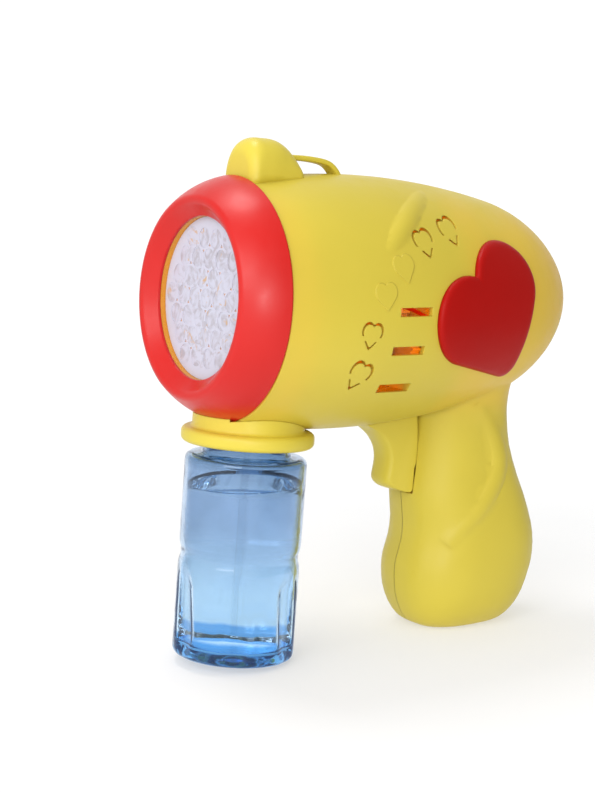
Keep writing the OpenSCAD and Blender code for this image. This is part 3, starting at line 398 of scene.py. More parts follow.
mats = {
    # The housing gets a painted orange glow on its inner flanks, standing in for light inside the barrel
    "housing": plastic("yellow_housing_painted_glow", YELLOW, 0.42, seam=True, edge=grip_root, thin=WALL_LIGHT,
                       gloss=0.35, inside=(painted_glow_in_barrel, INNER_PAINTED_LIGHT, INNER_PAINTED_GLOW)),
    "yellow": plastic("yellow_plain", YELLOW, 0.40, edge=EDGE_R, gloss=0.35),
    "red": plastic("red_ring", (0.60, 0.008, 0.005), 0.36, grain=0.15, edge=EDGE_R, gloss=0.4),
    "badge": plastic("badge_red", (0.42, 0.005, 0.003), 0.42, shade=0.85, grain=0.5, gloss=0.12),
    "amber": plastic("amber_tube", AMBER, 0.28, grain=0.1, soft=0.15, gloss=0.3),
    # The disc's sides behind its front get a painted amber light and glow from the tube
    "disc": plastic("disc_white_painted_tube_light", (0.56, 0.565, 0.665), 0.38, shade=0.96, grain=0.1, gloss=0.25,
                    inside=(painted_tube_light_share, DISC_PAINTED_LIGHT, DISC_PAINTED_GLOW)),
    "white": plastic("white_plastic", (0.80, 0.80, 0.83), 0.4),
    "gears": plastic("gear_plastic", (0.82, 0.78, 0.68), 0.38, grain=0.15),
    "grey": plastic("grey_plastic", (0.42, 0.43, 0.45), 0.45),
    "steel": metal("steel", (0.60, 0.60, 0.62), 0.32, (3000.0, 60.0, 3000.0)),
    "can": metal("motor_steel", (0.56, 0.56, 0.58), 0.36, (60.0, 2500.0, 2500.0)),
    "hose": clear("soft_hose", (0.93, 0.95, 0.95), 0.22, 1.4, 0.1),
    "straw": clear("clear_straw", (0.97, 0.985, 0.995), 0.02, 1.04, 0.0),
    "gasket": plastic("gasket_rubber", (0.03, 0.03, 0.03), 0.6, grain=0.5),
    "switch": plastic("switch_black", (0.03, 0.03, 0.032), 0.4),
    "cells": plastic("cell_sleeve", (0.60, 0.36, 0.07), 0.3, coat=0.4),
    "wire_red": plastic("wire_red_skin", (0.5, 0.02, 0.02), 0.4),
    "wire_black": plastic("wire_black_skin", (0.02, 0.02, 0.02), 0.4),
}

# The look of each solid
DRESS = {
    "housing": ["left_housing", "right_housing"],
    "yellow": ["bottle_collar", "top_fin", "trigger", "battery_cradle", "battery_door"],
    "red": ["front_bezel"],
    "amber": ["nozzle_tube"],
    "disc": ["bubble_disc"],
    "white": ["drip_ring", "fan", "motor_cap"],
    "gears": ["pinion", "idler_gear", "pump_gear", "pump_rotor", "pump_rollers"],
    "grey": ["motor_bracket", "pump_housing", "pump_cover"],
    "steel": ["motor_shaft", "idler_pin", "trigger_pin", "door_screw", "housing_screws", "contacts_top",
              "contacts_bottom"],
    "can": ["motor_can"],
    "hose": ["pump_hose"],
    "straw": ["dip_tube"],
    "gasket": ["neck_gasket"],
    "switch": ["switch_body", "switch_plunger"],
    "cells": ["cell_front", "cell_middle", "cell_rear"],
    "wire_red": ["wire_red"],
    "wire_black": ["wire_black"],
}

# Corner points nearer than this are joined, and edges sharper than this angle stay sharp
WELD_REACH, SHARP = 0.000002, 32


def smooth(obj, angle):
    """Joins the corner points of a mesh, smooths it and keeps edges sharper than the angle."""
    obj.data.polygons.foreach_set("use_smooth", [True] * len(obj.data.polygons))
    weld = obj.modifiers.new("weld", "WELD")
    weld.merge_threshold = WELD_REACH
    split = obj.modifiers.new("split", "EDGE_SPLIT")
    split.split_angle = math.radians(angle)
    split.use_edge_sharp = False


for look, names in DRESS.items():
    for name in names:
        nodes[name].data.materials.clear()
        nodes[name].data.materials.append(mats[look])
        smooth(nodes[name], SHARP)


# Pieces that need a finer mesh than the solids have
def piece(name, verts, faces, mat, body, stands_for=()):
    """Makes a smooth piece that rides on a body."""
    mesh = bpy.data.meshes.new(name)
    mesh.from_pydata([tuple(v) for v in verts], [], faces)
    bm = bmesh.new()
    bm.from_mesh(mesh)
    bmesh.ops.recalc_face_normals(bm, faces=bm.faces)
    bm.to_mesh(mesh)
    bm.free()
    mesh.polygons.foreach_set("use_smooth", [True] * len(mesh.polygons))
    mesh.materials.append(mat)
    obj = bpy.data.objects.new(name, mesh)
    scene.collection.objects.link(obj)
    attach(obj, body)
    if stands_for:
        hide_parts(*stands_for)
    return obj


def rings_mesh(rings, first=None, last=None):
    """Quads between closed rings of points, with fans to a first and last point."""
    verts = [v for ring in rings for v in ring]
    n = len(rings[0])
    faces = []
    for j in range(len(rings) - 1):
        for i in range(n):
            k = (i + 1) % n
            faces.append((j * n + i, j * n + k, (j + 1) * n + k, (j + 1) * n + i))
    for point, j in ((first, 0), (last, len(rings) - 1)):
        if point is not None:
            verts.append(point)
            faces += [(j * n + i, j * n + (i + 1) % n, len(verts) - 1) for i in range(n)]
    return verts, faces


def joined(meshes):
    """One list of points and faces from several."""
    verts, faces = [], []
    for v, f in meshes:
        faces += [tuple(a + len(verts) for a in face) for face in f]
        verts += v
    return verts, faces


def middle(ring):
    """Middle of a ring of points."""
    return sum(ring, Vector()) / len(ring)


def arc(cx, cy, r, a0, a1, n):
    """Points of an arc in degrees."""
    steps = [math.radians(a0 + (a1 - a0) * i / n) for i in range(n + 1)]
    return [(cx + r * math.cos(a), cy + r * math.sin(a)) for a in steps]


def round_turns(n):
    """Angles that share a full turn evenly."""
    return [2 * math.pi * k / n for k in range(n)]


def curve(path, steps):
    """Smooth line through the points of a path, with a number of steps between each two."""
    out = []
    last = len(path) - 1
    for k in range(last):
        before, a, b, after = (np.array(path[min(max(j, 0), last)]) for j in range(k - 1, k + 3))
        for f in np.linspace(0, 1, steps, endpoint=k == last - 1):
            out.append(0.5 * (2 * a + (b - before) * f + (2 * before - 5 * a + 4 * b - after) * f * f
                              + (3 * a - before - 3 * b + after) * f**3))
    return out


def between(a, b, f):
    """Point at a share of the way from a to b."""
    return a[0] * (1 - f) + b[0] * f, a[1] * (1 - f) + b[1] * f


def signed_power(x, power):
    """Power of a size that keeps its sign, which squares off a round section."""
    return math.copysign(abs(x) ** power, x)


# Heart badge: place and turn on the side, radii of its lobes and tip, thickness and squeeze across
BADGE_AT, BADGE_TURN = (92.7, -6.6), math.radians(33.7)
BADGE_LOBE_R, BADGE_TIP_R, BADGE_T, BADGE_WIDE = 15.05, 5.0, 2.2, 0.93
BADGE_MIDDLE = (0.0, 0.2 * BADGE_LOBE_R)
# Its seat off the barrel, and insets and heights of its softly rounded border
BADGE_SEAT = 0.06
BADGE_BORDER = [(0.0, BADGE_SEAT), (0.0, 0.7), (0.1, 1.15), (0.32, 1.55), (0.7, 1.84), (1.25, 2.04),
                (2.0, 2.15), (3.2, 2.19)]
BADGE_FLANK_STEPS = 12


def heart_line():
    """Outline of the heart: round tip, straight flanks and two round lobes that meet in a cleft."""
    d = BADGE_LOBE_R / math.sqrt(2)
    tip = arc(0, (BADGE_TIP_R - BADGE_LOBE_R) * math.sqrt(2), BADGE_TIP_R, 225, 315, 16)
    lobes = arc(d, d, BADGE_LOBE_R, -45, 134.4, 44) + arc(-d, d, BADGE_LOBE_R, 45.6, 225, 44)
    shares = [k / BADGE_FLANK_STEPS for k in range(1, BADGE_FLANK_STEPS)]
    right = [between(tip[-1], lobes[0], f) for f in shares]
    left = [between(lobes[-1], tip[0], f) for f in shares]
    return tip + right + lobes + left


def heart_badge():
    """The heart badge, bent onto the barrel's side."""
    line = heart_line()
    cosine, sine = math.cos(BADGE_TURN), math.sin(BADGE_TURN)

    def at(point, lift):
        u, v = point[0] * BADGE_WIDE, point[1]
        return on_side(BADGE_AT[0] + u * cosine - v * sine, BADGE_AT[1] + u * sine + v * cosine, lift)

    def ring(share, lift):
        return [at(between(BADGE_MIDDLE, p, share), lift) for p in line]

    rings = [ring(share, BADGE_SEAT) for share in (0.2, 0.4, 0.6, 0.8)]
    for inset, lift in BADGE_BORDER:
        shares = [max(0.0, 1 - inset / math.dist(p, BADGE_MIDDLE)) for p in line]
        rings.append([at(between(BADGE_MIDDLE, p, f), lift) for p, f in zip(line, shares)])
    rings += [ring(share, BADGE_T) for share in (0.75, 0.6, 0.45, 0.3, 0.15)]
    verts, faces = rings_mesh(rings, at(BADGE_MIDDLE, BADGE_SEAT), at(BADGE_MIDDLE, BADGE_T))
    piece("badge_heart", verts, faces, mats["badge"], "housing", ["heart_badge"])


heart_badge()


# Trigger: half width, and reach and depth of the rounding across its front
TRIGGER_HALF, TRIGGER_ROUND, TRIGGER_INSET = 5.5, 4.7, 2.3
TRIGGER_STATIONS = 33
# Its outline: slope under the barrel, front that flares out at the top, heel, rear, and boss about its pin
TRIGGER_TOP = [(86.6, 88.0), (79.0, 84.5), (74.0, 81.0), (71.2, 76.9)]
TRIGGER_FRONT = [(66.6, 76.35), (69.2, 74.8), (71.2, 73.2), (73.2, 71.3), (75.0, 69.0), (76.1, 66.8),
                 (76.6, 64.5), (76.6, 62.2), (76.3, 60.0), (76.1, 58.0), (76.5, 56.3), (77.7, 55.0),
                 (79.6, 54.2), (82.0, 53.75), (84.6, 53.35)]
TRIGGER_HEEL, TRIGGER_HEEL_R = (87.0, 54.5), 1.5
TRIGGER_REAR = [(88.4, 61.4), (90.4, 67.6), (91.0, 72.0), (93.4, 84.0), (93.4, 88.0)]
TRIGGER_PIN, TRIGGER_BOSS_R = (90.0, 88.0), 3.4
# Hollow behind it for the front cell: where it starts, how fast it deepens, its upper end and share there
HOLLOW_S, HOLLOW_RUN, HOLLOW_Z, HOLLOW_END = 80.8, 3.8, 62.0, 0.6
# Its depth in the middle, how that grows and curves across the width, and how far it lifts the underside
HOLLOW_DEEP, HOLLOW_SKEW, HOLLOW_BEND, HOLLOW_LIFT = 2.6, 0.1, 0.0512, 0.11
# The lip at the top of the front follows the barrel's round: its bounds, and the rise at its sides
LIP_Z, LIP_S, LIP_RISE = 76.0, 72.0, 0.36


def soft_trigger():
    """The trigger, rounded across its front and hollowed behind to clear the front cell."""
    front = [tuple(v) for v in curve(TRIGGER_FRONT, 6)]
    heel = arc(*TRIGGER_HEEL, TRIGGER_HEEL_R, 270, 350, 6)
    boss = arc(*TRIGGER_PIN, TRIGGER_BOSS_R, 15, 165, 10)
    line = TRIGGER_TOP + front + heel + TRIGGER_REAR + boss
    n = len(line)
    hollow = [min(1.0, max(0.0, (s - HOLLOW_S) / HOLLOW_RUN)) if z < HOLLOW_Z else 0.0 for s, z in line]
    hollow[line.index(TRIGGER_REAR[1])] = HOLLOW_END
    lip = [1.0 if z > LIP_Z and s < LIP_S else 0.0 for s, z in line]
    weight = [0.0] * n
    for k in range(len(front)):
        f = k / (len(front) - 1)
        weight[len(TRIGGER_TOP) + k] = min(1.0, 5 * f) * min(1.0, 5 * (1 - f))
    inward = []
    for k in range(n):
        before, after = line[k - 1], line[(k + 1) % n]
        share = weight[k] / math.dist(before, after)
        inward.append(((before[1] - after[1]) * share, (after[0] - before[0]) * share))
    rings = []
    for turn in np.linspace(-math.pi / 2, math.pi / 2, TRIGGER_STATIONS):
        y = TRIGGER_HALF * math.sin(turn)
        e = max(0.0, abs(y) - TRIGGER_HALF + TRIGGER_ROUND) / TRIGGER_ROUND
        inset = TRIGGER_INSET * (1 - math.sqrt(max(0.0, 1 - e * e)))
        room = HOLLOW_DEEP + HOLLOW_SKEW * y - HOLLOW_BEND * y * y
        rise = LIP_RISE * (y / TRIGGER_HALF) ** 2
        ring = []
        for k, (s, z) in enumerate(line):
            s += inset * inward[k][0] - room * hollow[k]
            z += inset * inward[k][1] + rise * lip[k] + HOLLOW_LIFT * room * hollow[k]
            ring.append(placed(s, y, z))
        rings.append(ring)
    verts, faces = rings_mesh(rings)
    faces += [tuple(range(n)), tuple(range(len(verts) - n, len(verts)))]
    smooth(piece("trigger_lever", verts, faces, mats["yellow"], "trigger", ["trigger"]), SHARP)


soft_trigger()


# Fin on top: highest line, half width and ends, then how deep it sinks in and how square its arch is
FIN_TOP, FIN_W, FIN_FRONT, FIN_BACK = 168.95, 9.4, 11.9, 32.5
FIN_SINK, FIN_SQUARE = 0.9, 0.86
# Height of the arch over upright sides, and the least height of those
FIN_ARCH, FIN_SIDE = 11.0, 0.6
# Rounding of the front end from above and across, and of the back end
FIN_NOSE_TOP, FIN_NOSE_ACROSS, FIN_END_R = 5.6, 3.0, 2.0
# Fall of the top line towards the back, and taper of the width
FIN_FALL, FIN_FALL_S, FIN_FALL_RUN, FIN_FALL_POWER = 11.0, 19.0, 13.8, 3.2
FIN_TAPER, FIN_TAPER_S = 0.08, 20.0
# Depth of the point that the end faces shrink to
FIN_CORE = 6.0
FIN_ARCH_STEPS, FIN_BASE_STEPS, FIN_END_STEPS, FIN_ROWS = 36, 12, 8, 28
# Strap loop: its path behind the fin, measured down from the fin's top, and its flat section
LOOP_PATH = [(27.5, -5.6), (33.0, -5.4), (38.5, -5.5), (44.2, -6.2), (47.4, -8.0), (49.8, -11.2),
             (51.6, -15.8)]
LOOP_HALF_W, LOOP_HALF_T, LOOP_SQUARE, LOOP_TURNS = 3.1, 0.95, 0.45, 28


def rounding(depth, radius):
    """How far a rounded edge falls back at a depth behind its front."""
    left = max(0.0, radius - depth)
    return radius - math.sqrt(radius**2 - left**2)


def fin_section(s, inset, share):
    """Ring of the fin at a place along it: arch above, the barrel's round below, shrunk to a share."""
    behind = s - FIN_FRONT
    fall = FIN_FALL * max(0.0, (s - FIN_FALL_S) / FIN_FALL_RUN) ** FIN_FALL_POWER
    top = FIN_TOP - fall - inset - rounding(behind, FIN_NOSE_TOP)
    half = FIN_W - FIN_TAPER * max(0.0, s - FIN_TAPER_S) - inset - rounding(behind, FIN_NOSE_ACROSS)
    rise = min(FIN_ARCH, top - barrel_top(s, 0.0, FIN_SINK) - FIN_SIDE)
    outline = []
    for i in range(FIN_ARCH_STEPS + 1):
        turn = math.pi * i / FIN_ARCH_STEPS
        y = half * signed_power(math.cos(turn), FIN_SQUARE)
        outline.append((y, top - rise + rise * math.sin(turn) ** FIN_SQUARE))
    for i in range(FIN_BASE_STEPS, -1, -1):
        y = half * (1 - 2 * i / FIN_BASE_STEPS)
        outline.append((y, barrel_top(s, y, FIN_SINK)))
    core = top - FIN_CORE
    return [placed(s, y * share, core + (z - core) * share) for y, z in outline]


def fin_body():
    """Mesh of the fin, closer spaced at its rounded ends."""
    quarter = [math.pi / 2 * k / FIN_END_STEPS for k in range(FIN_END_STEPS + 1)]
    rings = [fin_section(FIN_FRONT, 0.0, f) for f in (0.3, 0.6, 0.85)]
    rings += [fin_section(FIN_FRONT + FIN_NOSE_ACROSS * (1 - math.cos(a)), 0.0, 1.0) for a in quarter]
    straight = (FIN_FRONT + FIN_NOSE_ACROSS + 0.5, FIN_BACK - FIN_END_R - 0.4)
    rings += [fin_section(s, 0.0, 1.0) for s in np.linspace(*straight, FIN_ROWS)]
    for a in quarter[1:-1]:
        s = FIN_BACK - FIN_END_R * (1 - math.sin(a))
        rings.append(fin_section(s, FIN_END_R * (1 - math.cos(a)), 1.0))
    rings += [fin_section(FIN_BACK, FIN_END_R, f) for f in (0.85, 0.5)]
    return rings_mesh(rings, middle(rings[0]), middle(rings[-1]))


def strap_loop():
    """Mesh of the flat loop that runs back from the fin and bends down to the barrel."""
    line = curve(LOOP_PATH, 8)
    rings = []
    for k, at in enumerate(line):
        way = line[min(k + 1, len(line) - 1)] - line[max(k - 1, 0)]
        up = np.array((-way[1], way[0])) / np.linalg.norm(way)
        ring = []
        for turn in round_turns(LOOP_TURNS):
            y = LOOP_HALF_W * signed_power(math.cos(turn), LOOP_SQUARE)
            s, z = at + up * LOOP_HALF_T * signed_power(math.sin(turn), LOOP_SQUARE)
            ring.append(placed(s, y, FIN_TOP + z))
        rings.append(ring)
    return rings_mesh(rings, middle(rings[0]), middle(rings[-1]))


def fin():
    """The fin with its strap loop."""
    verts, faces = joined([fin_body(), strap_loop()])
    piece("fin_loop", verts, faces, mats["yellow"], "housing", ["top_fin"])


fin()


# Wet film in the rings of the disc: rings from the middle to the edge, steps round, thickness
FILM_RINGS, FILM_TURNS, FILM_T = 3, 28, 0.3
FILM_R = (RING_PITCH - RING_WALL) / 2
# Least depth behind the disc's front and least bulge, each with its random part
FILM_DEEP, FILM_BULGE = (0.05, 0.1), (0.02, 0.1)
# Shares of the radius on the front and the back, and the back's share of the bulge
FILM_FRONT, FILM_BACK, FILM_BACK_BULGE = (0.25, 0.5, 0.72, 0.88, 0.97, 1.0), (1.0, 0.8, 0.5, 0.25), 0.6
# Beads in the gaps between three rings: radius and depth, share of dry gaps, and reach in ring pitches
BEAD_PROFILE = ((0.5, -0.05), (1.0, -0.03), (1.45, 0.03), (1.2, 0.2), (0.6, 0.22))
BEAD_TURNS, BEAD_DRY, BEAD_REACH = 16, 0.35, 3.05
FILM_SEED = 11
FILM_SHARP = 25
# Look of the film: milky swirls, with flecks where the amber tube shows through
FILM_DARK, FILM_PALE, FILM_FLECK = (0.42, 0.40, 0.45), (0.545, 0.55, 0.65), (0.56, 0.33, 0.13)
SWIRLS, FLECKS, RIPPLES = 150.0, 130.0, 420.0
SWIRL_CORE, FLECK_CORE, FLECK_SHARE = (0.36, 0.56), (0.62, 0.70), 0.75
RIPPLE_STRENGTH, RIPPLE_DEPTH = 0.2, 0.0004


def soap_film():
    """Wet milky film with flecks."""
    t = Tree("soap_film")
    swirl = t.span(t.noise(SWIRLS, 5.0, 0.6, 2.4), 0.0, 1.0, *SWIRL_CORE)
    flecks = t.span(t.noise(FLECKS, 3.0, 0.6, 2.0), 0.0, FLECK_SHARE, *FLECK_CORE)
    return t.end(t.add("ShaderNodeBsdfPrincipled", {
        "Base Color": t.mix(flecks, t.mix(swirl, FILM_DARK, FILM_PALE), FILM_FLECK),
        "Roughness": 0.3,
        "Normal": t.bump(t.noise(RIPPLES, 3.0, 0.5, 1.0), RIPPLE_STRENGTH, RIPPLE_DEPTH),
        "Specular IOR Level": 0.3,
    }))


def disc_ring(s, y, z, r, turns):
    """Ring of points around a place on the disc."""
    return [placed(s, y + r * math.cos(a), z + r * math.sin(a)) for a in round_turns(turns)]


def film_patch(y, z, deep, bulge):
    """Bulged skin in one ring of the disc."""
    rings = [disc_ring(deep - bulge * (1 - f * f), y, z, f * FILM_R, FILM_TURNS) for f in FILM_FRONT]
    back, back_bulge = deep + FILM_T, FILM_BACK_BULGE * bulge
    rings += [disc_ring(back - back_bulge * (1 - f * f), y, z, f * FILM_R, FILM_TURNS) for f in FILM_BACK]
    return rings_mesh(rings, placed(deep - bulge, y, z), placed(back - back_bulge, y, z))


def bead(y, z):
    """Bead of liquid in a gap between three rings."""
    rings = [disc_ring(DISC_S + dip, y, z, r, BEAD_TURNS) for r, dip in BEAD_PROFILE]
    ends = [placed(DISC_S + BEAD_PROFILE[k][1], y, z) for k in (0, -1)]
    return rings_mesh(rings, *ends)


def bubble_film():
    """The film in all rings of the disc, with beads in some of the gaps."""
    mat = soap_film()
    rng = np.random.default_rng(FILM_SEED)
    n = FILM_RINGS
    meshes = []
    for i in range(-n, n + 1):
        for j in range(max(-n, -n - i), min(n, n - i) + 1):
            y = RING_PITCH * (j + i / 2)
            z = AXIS_Z - RING_PITCH * math.sqrt(3) / 2 * i
            deep = DISC_S + FILM_DEEP[0] + FILM_DEEP[1] * rng.random()
            bulge = FILM_BULGE[0] + FILM_BULGE[1] * rng.random()
            meshes.append(film_patch(y, z, deep, bulge))
            for side in (-1, 1):
                dry = rng.random() < BEAD_DRY
                gap = (y + RING_PITCH / 2, z - side * RING_PITCH * math.sqrt(3) / 6)
                if not dry and math.dist(gap, (0.0, AXIS_Z)) <= BEAD_REACH * RING_PITCH:
                    meshes.append(bead(*gap))
    verts, faces = joined(meshes)
    smooth(piece("disc_film", verts, faces, mat, "housing"), FILM_SHARP)


bubble_film()


# Bottle: steps round it, and radii of its shoulder, its foot and the root of its neck
ANGLES = round_turns(192)
SHOULDER_R, FOOT_R, NECK_ROOT_R = 2.4, 2.4, 0.8
# Slanted hollows near the foot: number, slant, half angle, and how softly they run into the wall
DENTS, DENT_SLANT, DENT_HALF, DENT_SOFT = 6, math.radians(14), 0.6, 0.55
# Reach and halvings of the search for a hollow's radius
DENT_REACH, DENT_HALVINGS = 3.0, 18
# The round-ended rod that would leave such a hollow: radius, length, distance off the wall and lower end
ROD_R, ROD_LONG, ROD_OUT, ROD_Z = 26.0, 14.0, 24.7, 8.4
# Waist: height, depth and half width
WAIST_Z, WAIST_DEEP, WAIST_HALF = 34.0, 0.7, 2.2
# Thread: pitch, height of its start, ends and their run-out, and height and half width of its ridge
THREAD_PITCH, THREAD_START, THREAD_ENDS, THREAD_RUN = 3.0, 70.6, (70.4, 75.0), 0.8
THREAD_H, THREAD_HALF = 0.42, 0.75
# Foot: height and fall of the dished base, its radius, and the rim around it as radius and height
DISH_Z, DISH_FALL, DISH_R = 3.4, 0.4, 10.0
FOOT_RIM = ((11.5, 2.5), (13.0, 1.4), (14.2, 0.5), (15.0, 0.08), (16.0, 0.0))
# Inside: insets and heights where wall and base meet, then radii and heights of the base, and its middle
INNER_FOOT = ((0.5, 4.6), (1.3, 3.9), (2.4, 3.7))
INNER_BASE = ((14.0, 3.7), (12.0, 4.0), (10.0, 4.3), (8.0, 4.45), (4.0, 4.65))
INNER_BASE_Z = 4.7
# Rounding of the lip, and the flare under the neck inside
LIP_ROUND, INNER_FLARE = 0.3, 1.2
# Lower ends of the upright wall outside, inside and in the liquid, and the rows of points on each
WALL_LOW, INNER_LOW, LIQUID_LOW = 3.2, 5.6, 5.7
WALL_ROWS, INNER_ROWS, LIQUID_ROWS, NECK_ROWS = 84, 60, 52, 26


def dent(z, angle):
    """Radius left by the slanted hollows near the foot, at a height and an angle."""
    best = BOTTLE_R
    for k in range(DENTS):
        a = (angle - k * 2 * math.pi / DENTS + math.pi) % (2 * math.pi) - math.pi
        if abs(a) > DENT_HALF:
            continue
        low, high = BOTTLE_R - DENT_REACH, BOTTLE_R + DENT_REACH
        for _ in range(DENT_HALVINGS):
            r = (low + high) / 2
            x, y, h = r * math.cos(a) - BOTTLE_R - ROD_OUT, r * math.sin(a), z - ROD_Z
            along = min(ROD_LONG, max(0.0, h * math.cos(DENT_SLANT) - y * math.sin(DENT_SLANT)))
            far = math.hypot(x, y + along * math.sin(DENT_SLANT), h - along * math.cos(DENT_SLANT))
            low, high = (r, high) if far >= ROD_R else (low, r)
        soft = max(0.0, DENT_SOFT - abs(best - low)) / DENT_SOFT
        best = min(best, low) - soft * soft * DENT_SOFT / 4
    return best


def waist(z):
    """How far the wall is drawn in at the waist."""
    return WAIST_DEEP / (1 + ((z - WAIST_Z) / WAIST_HALF) ** 4)


def thread(z, angle):
    """Height of the neck's thread at a height and an angle."""
    turn = (z - THREAD_START) / THREAD_PITCH - angle / (2 * math.pi)
    away = abs((turn + 0.5) % 1.0 - 0.5) * THREAD_PITCH
    low, high = THREAD_ENDS
    ends = min(1.0, max(0.0, (z - low) / THREAD_RUN)) * min(1.0, max(0.0, (high - z) / THREAD_RUN))
    return THREAD_H * ends * max(0.0, 1 - (away / THREAD_HALF) ** 2)


def bottle_point(r, a, z):
    """Point at a radius, an angle and a height about the bottle's axis."""
    return placed(BOTTLE_S + r * math.cos(a), r * math.sin(a), z)


def plain_ring(r, z):
    """Round ring of the bottle."""
    return [bottle_point(r, a, z) for a in ANGLES]


def dented_ring(r, z):
    """Ring of the bottle that follows the hollows of its outer face."""
    return [bottle_point(r + dent(z, a) - BOTTLE_R, a, z) for a in ANGLES]


def threaded_ring(z):
    """Ring of the neck with its thread."""
    return [bottle_point(NECK_R + thread(z, a), a, z) for a in ANGLES]


# Painted light and shade of the surroundings as tints of the bottle from foot to neck, and the heights over
# which each runs into the next
FOOT_PAINTED_TINT, FOOT_END = (0.13, 0.43, 0.83), (0.0070, 0.0082)
LOWER_PAINTED_TINTS = ((0.64, 0.815, 0.955), (0.67, 0.84, 0.97))
UPPER_PAINTED_SHADES, UPPER_START = ((0.51, 0.64, 0.80), (0.44, 0.56, 0.70)), (0.019, 0.045)
NECK_PAINTED_SHADE, NECK_START = (0.31, 0.43, 0.56), (0.062, 0.065)
# Painted blue glow of the bottle, and its strength
BOTTLE_PAINTED_GLOW, BOTTLE_PAINTED_GLOW_STRENGTH = (0.08, 0.36, 0.95), 0.022
# Clouds in the upper painted shade, and moulding marks on the wall
CLOUDS, CLOUD_CORE = 34.0, (0.42, 0.62)
MARKS, MARK_STRENGTH, MARK_DEPTH = 75.0, 0.3, 0.0006


def bottle_blue_painted_shade():
    """Clear blue plastic with painted light and shade by height, deeper blue at the foot and greyer towards
    the neck, and a faint painted glow.
    """
    t = Tree("bottle_blue_painted_shade")
    foot = placed(BOTTLE_S, 0, 0)
    upwards = (placed(BOTTLE_S, 0, 1) - foot).normalized()
    height = t.vector("DOT_PRODUCT", t.vector("SUBTRACT", t.coord, foot), upwards, "Value")
    flow = t.span(t.noise(FLOW), 0.0, 1.0, *NOISE_CORE)
    clouds = t.span(t.noise(CLOUDS, 2.0, 0.5, 0.8), 0.0, 1.0, *CLOUD_CORE)
    # Painted light and shade by height: deeper blue at the foot, paler below, greyer and darker towards the
    # neck
    base = t.mix(t.span(height, 0.0, 1.0, *FOOT_END), FOOT_PAINTED_TINT, t.mix(flow, *LOWER_PAINTED_TINTS))
    base = t.mix(t.span(height, 0.0, 1.0, *UPPER_START), base, t.mix(clouds, *UPPER_PAINTED_SHADES))
    base = t.mix(t.span(height, 0.0, 1.0, *NECK_START), base, NECK_PAINTED_SHADE)
    return t.end(t.add("ShaderNodeBsdfPrincipled", {
        "Base Color": base,
        "Roughness": 0.03,
        "IOR": 1.45,
        "Transmission Weight": 1.0,
        "Normal": t.bump(t.noise(MARKS, 2.0, 0.5, 0.6), MARK_STRENGTH, MARK_DEPTH),
        # Painted blue glow
        "Emission Color": BOTTLE_PAINTED_GLOW,
        "Emission Strength": BOTTLE_PAINTED_GLOW_STRENGTH,
    }))


def bottle_outside():
    """Rings of the bottle's outer face, from its base up to the thread."""
    bend = SHOULDER_Z - SHOULDER_R
    rings = [plain_ring(r, DISH_Z - DISH_FALL * (r / DISH_R) ** 2) for r in (2.0, 5.0, 8.0, DISH_R)]
    rings += [plain_ring(r, z) for r, z in FOOT_RIM]
    rings += [dented_ring(r, z) for r, z in arc(BOTTLE_R - FOOT_R, FOOT_R, FOOT_R, -90, 0, 10)]
    rings += [dented_ring(BOTTLE_R - waist(z), z) for z in np.linspace(WALL_LOW, bend - 0.2, WALL_ROWS)]
    rings += [plain_ring(r, z) for r, z in arc(BOTTLE_R - SHOULDER_R, bend, SHOULDER_R, 0, 90, 12)]
    root = arc(NECK_R + NECK_ROOT_R, SHOULDER_Z + NECK_ROOT_R, NECK_ROOT_R, 270, 180, 5)
    rings += [plain_ring(r, z) for r, z in root]
    rings += [threaded_ring(z) for z in np.linspace(SHOULDER_Z + 1.2, BOTTLE_TOP - 0.4, NECK_ROWS)]
    return rings


def bottle_inside():
    """Rings of the lip and of the bottle's inner face, from the top down to the base."""
    bore, wall_r = NECK_R - BOTTLE_WALL, BOTTLE_R - BOTTLE_WALL
    bend = SHOULDER_Z - SHOULDER_R
    lip = ((NECK_R - 0.05, BOTTLE_TOP - 0.12), (NECK_R - LIP_ROUND, BOTTLE_TOP),
           (bore + LIP_ROUND, BOTTLE_TOP), (bore, BOTTLE_TOP - LIP_ROUND))
    rings = [plain_ring(r, z) for r, z in lip]
    rings += [plain_ring(bore, z) for z in np.linspace(BOTTLE_TOP - 1, SHOULDER_Z, 8)]
    for k in (0.4, 0.75, 1.0):
        rings.append(plain_ring(bore + INNER_FLARE * k * k, SHOULDER_Z - BOTTLE_WALL * k))
    shoulder = arc(BOTTLE_R - SHOULDER_R, bend, SHOULDER_R - BOTTLE_WALL, 88, 0, 10)
    rings += [plain_ring(r, z) for r, z in shoulder]
    rings += [dented_ring(wall_r - waist(z), z) for z in np.linspace(bend - 0.6, INNER_LOW, INNER_ROWS)]
    rings += [dented_ring(wall_r - inset, z) for inset, z in INNER_FOOT]
    rings += [plain_ring(r, z) for r, z in INNER_BASE]
    return rings


def bottle():
    """The bottle with its wall, panels, waist and thread."""
    mat = bottle_blue_painted_shade()
    rings = bottle_outside() + bottle_inside()
    verts, faces = rings_mesh(rings, bottle_point(0, 0, DISH_Z), bottle_point(0, 0, INNER_BASE_Z))
    piece("bottle_shell", verts, faces, mat, "bottle", ["bottle"])


bottle()


# Liquid: its level, gap to the bottle, base as radius and height, and where wall and base meet
LIQUID_Z, LIQUID_GAP = 57.0, 0.06
LIQUID_BASE_Z = 4.95
LIQUID_BASE = ((1.5, 4.9), (4.0, 4.8), (8.0, 4.6), (10.0, 4.42), (12.0, 4.12), (14.0, 3.84))
LIQUID_FOOT = ((2.4, 3.84), (1.35, 4.05), (0.55, 4.7))
# Edge that creeps up the wall, as inset and rise, and radii of the flat face inside it
LIQUID_EDGE = ((0.0, 0.9), (0.25, 0.45), (0.8, 0.12), (1.8, 0.0))
LIQUID_FACE = (12.0, 6.0, 2.0)


